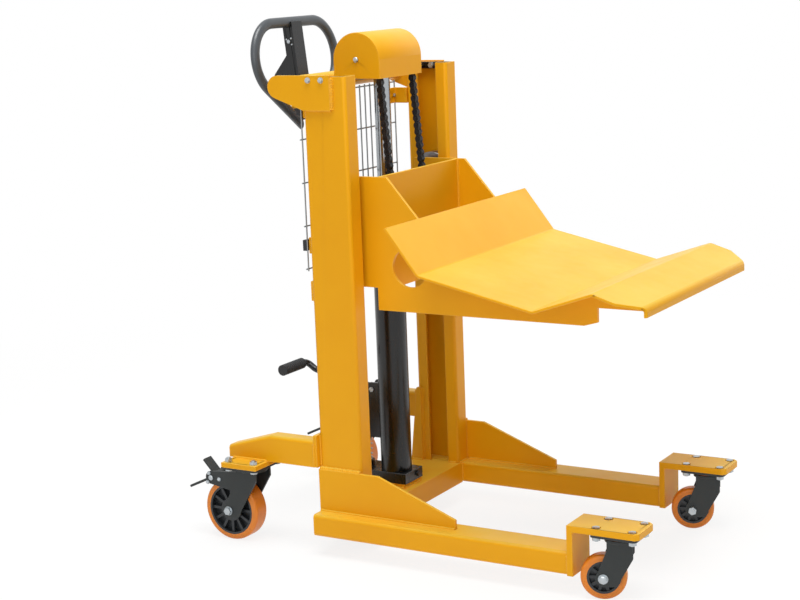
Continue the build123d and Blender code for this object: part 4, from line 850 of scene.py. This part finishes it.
# %% A fork without its pins
def tallest_solid(name, node):
    """A copy of the tallest solid of a CAD node, with its triangles merged."""
    shape = bmesh.new()
    shape.from_mesh(nodes[node].data)
    bmesh.ops.remove_doubles(shape, verts=shape.verts, dist=SAME_POINT)
    solids, left = [], set(shape.verts)
    while left:
        solid, reached = set(), [left.pop()]
        while reached:
            vert = reached.pop()
            solid.add(vert)
            near = {edge.other_vert(vert) for edge in vert.link_edges} & left
            left -= near
            reached += near
        solids.append(solid)
    keep = max(solids, key=lambda solid: max(v.co.z for v in solid) - min(v.co.z for v in solid))
    bmesh.ops.delete(shape, geom=[v for v in shape.verts if v not in keep], context="VERTS")
    made = bpy.data.meshes.new(name)
    shape.to_mesh(made)
    shape.free()
    piece = bpy.data.objects.new(name, made)
    scene.collection.objects.link(piece)
    return piece


# end: place of the swivel's axis, angle it stands at, trail, wheel radius, half the fork's width
casters = {"front": (701, 19, 36, 50, 25), "rear": (-247, 0, 56, 75, 32)}
swivel_y = {"left": 260, "right": -260}
print("casters at", ", ".join(f"{end}_{side}" for end in casters for side in swivel_y))

# %% [markdown]
# The axle comes from the bolt tree.
# On the rear casters so do the brake's pin and three small bolts on each outer cheek.
# The front casters stand turned, so their axles are set out straight and then turned with them.

# %% Forks with plated axles
brake_pin_at = (-103, 152)
cheek_bolts_at = ((-79.5, 150.6), (-109, 162.6), (-113.7, 139.8))
for end, (axis_x, turned, trail, wheel_r, half) in casters.items():
    for side, y in swivel_y.items():
        corner = f"{end}_{side}"
        cheeks = tallest_solid(f"{corner}_fork_cheeks", f"{corner}_fork")
        cheeks.data.materials.append(finishes["caster_coat"])
        soften(cheeks, 1.2)
        spin = Matrix.Rotation(math.radians(turned), 3, "Z")
        outward = Vector((0, 1 if side == "left" else -1, 0))
        centre = place(axis_x, y, 0)
        at = centre + spin @ (Vector((mm(-trail), 0, mm(wheel_r))) + outward * mm(half))
        bolts = [grow(
            "axle", bolt, [at], ways=[spin @ outward], Head_radius=9.5, Head_height=6.4,
            Washer_radius=11, Washer=1.6, Shank=6, Grip=2 * half, Length=2 * half + 12,
            Nut_radius=10, Nut_height=10)]
        if end == "rear":
            pin, *spots = [centre + Vector((mm(x), 0, mm(z))) + outward * mm(half)
                           for x, z in (brake_pin_at, *cheek_bolts_at)]
            bolts.append(grow(
                "brake_pin", bolt, [pin], ways=[outward], Sides=16, Head_radius=6.4,
                Head_height=2.4, Washer_radius=6.4, Washer=0.4, Grip=2 * half,
                Length=2 * half + 4, Nut_radius=6.4, Nut_height=4))
            bolts.append(grow(
                "cheek_bolts", bolt, spots, ways=[outward] * 3, Head_radius=4.4, Head_height=2,
                Crown=0.8, Washer_radius=5, Washer=0.8, Shank=2.5, Length=5, Grip=1,
                Nut_radius=2.5, Nut_height=1))
        axle = gather(f"{corner}_axle_and_pins", bolts)
        for piece, slot in ((cheeks, "caster_coat"), (axle, "zinc")):
            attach(piece, f"{corner}_swivel")
            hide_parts(f"{corner}_fork")
print("forks with axles at four corners")

# %% [markdown]
# The pedal's bar wears a rubber sleeve with ribs all round, so that a wet shoe doesn't slip.
# A displaced cylinder would need many faces to keep the ribs crisp.
# Sweeping a circle along the bar with a radius that steps in and out gives the ribs their edges.

# %% Ribbed pedal sleeve
def waves(tree, path, step, pitch):
    """The path as a finely divided curve, and a value that climbs from 0 to 1 in every pitch."""
    curve = add(tree, "GeometryNodeMeshToCurve", {0: path}).outputs[0]
    fine = add(tree, "GeometryNodeResampleCurve", {"Curve": curve, "Length": step}, mode="LENGTH")
    along = add(tree, "GeometryNodeSplineParameter").outputs["Length"]
    turn = add(tree, "ShaderNodeMath", {0: along, 1: pitch}, operation="DIVIDE")
    wave = add(tree, "ShaderNodeMath", {0: turn.outputs[0]}, operation="FRACT")
    return fine.outputs[0], wave.outputs[0]


tree, size = start_tree("ribbed_sleeve", {
    "Radius": 13.5, "Rib depth": 1.5, "Rib pitch": 7.0, "Step": 0.875})
bar, wave = waves(tree, size["Path"], size["Step"], size["Rib pitch"])
groove = add(tree, "ShaderNodeMapRange", {
    "Value": wave, "From Min": 0.62, "From Max": 0.70, "To Min": 0.0, "To Max": size["Rib depth"]})
radius = add(tree, "ShaderNodeMath", {0: size["Radius"], 1: groove.outputs[0]},
             operation="SUBTRACT")
sleeve = sweep(tree, bar, 28, scale=radius.outputs[0])
end_tree(tree, sleeve, finishes["black_rubber"])
grip = grow("pedal_sleeve", tree, [place(-254, -106.5, 384), place(-254, -21.5, 384)], [(0, 1)])
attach(grip, "pedal")
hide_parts("pedal_grip")
tell(grip)

# %% [markdown]
# The frame is welded by hand: a bead runs along each joint.
# It has the ripples that the pool leaves as it freezes, and a smooth fillet would look moulded.
# The tree sweeps a small circle along the joints.
# Its radius swells and sinks every few millimetres, and wanders a little between.

# %% Weld bead
bead, size = start_tree("weld_bead", {"Bead": 3.4, "Ripple": 5.5, "Step": 1.6})
joints, wave = waves(bead, size["Path"], size["Step"], size["Ripple"])
wander = add(bead, "ShaderNodeTexNoise", {"Scale": per_mm(30), "Detail": 1.0})
swell = add(bead, "ShaderNodeMath", {0: wave, 1: 0.22, 2: 0.72}, operation="MULTIPLY_ADD")
uneven = add(bead, "ShaderNodeMath", {0: wander.outputs[0], 1: 0.4, 2: swell.outputs[0]},
             operation="MULTIPLY_ADD")
radius = add(bead, "ShaderNodeMath", {0: uneven.outputs[0], 1: size["Bead"]},
             operation="MULTIPLY")
end_tree(bead, sweep(bead, joints, 8, scale=radius.outputs[0]), finishes["yellow_paint"])


def seams(lines, mirrored=True):
    """Points and edges of joints drawn in mm on the left side, and their mirror images."""
    points, edges = [], []
    for sign in (1, -1) if mirrored else (1,):
        for line in lines:
            edges += [(len(points) + k, len(points) + k + 1) for k in range(len(line) - 1)]
            points += [place(x, sign * y, z) for x, y, z in line]
    return points, edges


def round_seam(x, z, y, r, first=0, last=360):
    """A joint round a bar along Y, from one angle to another."""
    steps = 24
    angles = [math.radians(first + (last - first) * k / steps) for k in range(steps + 1)]
    return [(x + r * math.cos(a), y, z + r * math.sin(a)) for a in angles]


print("weld tree has", len(bead.nodes), "nodes")

# %% [markdown]
# The joints are read off the machine from the floor up.
# First come legs and crossbar, then columns and gussets, then rear arms and lugs.
# Only edges where two plates really meet get a bead.

# %% Welds of the frame
frame_seams = [
    # front bracket on the leg's end, crossbar against the leg
    [(594.5, 301, 56), (594.5, 301, 92)], [(594.5, 293, 100), (594.5, 227, 100)],
    [(594.5, 219, 92), (594.5, 219, 56)], [(59, 219, 52), (59, 219, 99)],
    [(-54, 219, 52), (-54, 219, 99)], [(609, 218, 147), (609, 302, 147)],
    # column foot, gusset on leg and column, brace
    [(56, 213, 100), (56, 250, 100)], [(-56, 213, 100), (-56, 250, 100)],
    [(30, 206, 100), (48, 206, 100)], [(-55, 265, 100), (301, 265, 100)],
    [(60, 257, 100), (301, 257, 100)], [(53, 256.4, 102), (53, 256.4, 199)],
    [(-52, 205.4, 102), (-52, 205.4, 286)], [(-76, 198, 100), (-46, 198, 100)],
    [(-44, 206, 102), (-44, 206, 288)],
    # attachment plate, rear arm, caster plate
    [(-56, 214, 281), (-56, 249, 281)], [(-55, 253.5, 206), (-55, 253.5, 279)],
    [(-65, 236, 268), (-65, 262, 268)], [(-65, 270, 206), (-65, 270, 259)],
    [(-65, 228, 206), (-65, 228, 259)], [(-295, 270, 204), (-199, 270, 204)],
    [(-295, 228, 204), (-199, 228, 204)],
    # crossbeam, guard brackets
    [(-56, 214, 642), (-56, 248, 642)], [(-56, 214, 596), (-56, 248, 596)],
    [(-56, 249, 598), (-56, 249, 640)], [(-57, 65, 642), (-63, 65, 642)],
    [(-57, 83, 642), (-63, 83, 642)], [(-56.5, 229, 1013), (-56.5, 229, 1047)],
    [(-56.5, 229, 700), (-56.5, 229, 734)],
    # lug on the column, cross tube, handle tongue
    [(18, 257, 1034), (-46, 257, 1034)], [(-53, 256, 1036), (-53, 256, 1107)],
    round_seam(-120, 1086, 256.5, 20), round_seam(-120, 1086, 30.5, 20, 176, 272),
]
# The lug's front edge and the gusset's top edge carry a heavier bead.
heavy_seams = [[(20, 257, 1107), (20, 257, 1036)], [(-55, 258, 200), (54, 258, 200)]]
# The pump's pad is not in the middle, so its joints have no mirror image.
pad_seams = [[(40, 42, 100), (40, -36, 100)], [(38, 44, 100), (-69, 44, 100)],
             [(38, -38, 100), (-69, -38, 100)]]
left_right = grow("seams", bead, *seams(frame_seams))
heavy = grow("heavy_seams", bead, *seams(heavy_seams), Bead=6)
pad = grow("pad_seams", bead, *seams(pad_seams, mirrored=False))
frame_welds = gather("frame_welds", [left_right, heavy, pad])
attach(frame_welds, "chassis")
tell(frame_welds)

# %% [markdown]
# On the carriage the side plates are welded to the back plate, the rib and the cradle's underside.
# The bead under the cradle follows the bent sheet, a sheet's thickness below its upper line.

# %% Welds of the carriage
carriage_seams = [
    # under the cradle
    [(197, 190, 781), (271, 190, 684.5), (300, 190, 677.6), (543, 190, 623.5), (598, 190, 641),
     (674, 190, 667)],
    # back plate and rib, on both of their faces
    [(93, 182, 617), (93, 182, 876)], [(85, 182, 628), (85, 182, 876)],
    [(408, 182, 587), (408, 182, 648)], [(400, 182, 587), (400, 182, 650)],
    # stub axles of the rollers
    round_seam(0, 841, 190, 20), round_seam(0, 662, 190, 20),
]
carriage_welds = grow("carriage_welds", bead, *seams(carriage_seams))
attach(carriage_welds, "carriage")
tell(carriage_welds)

# %% [markdown]
# ## The visual box
# The visual box is set against the CAD box, and how far it stands proud is printed.

# %% Boxes
low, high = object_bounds()
grown = [max(a - b, d - c) for a, b, c, d in zip(cad_low, low, cad_high, high)]
print("visual box stands proud by", [round(g * 1000, 2) for g in grown], "mm")
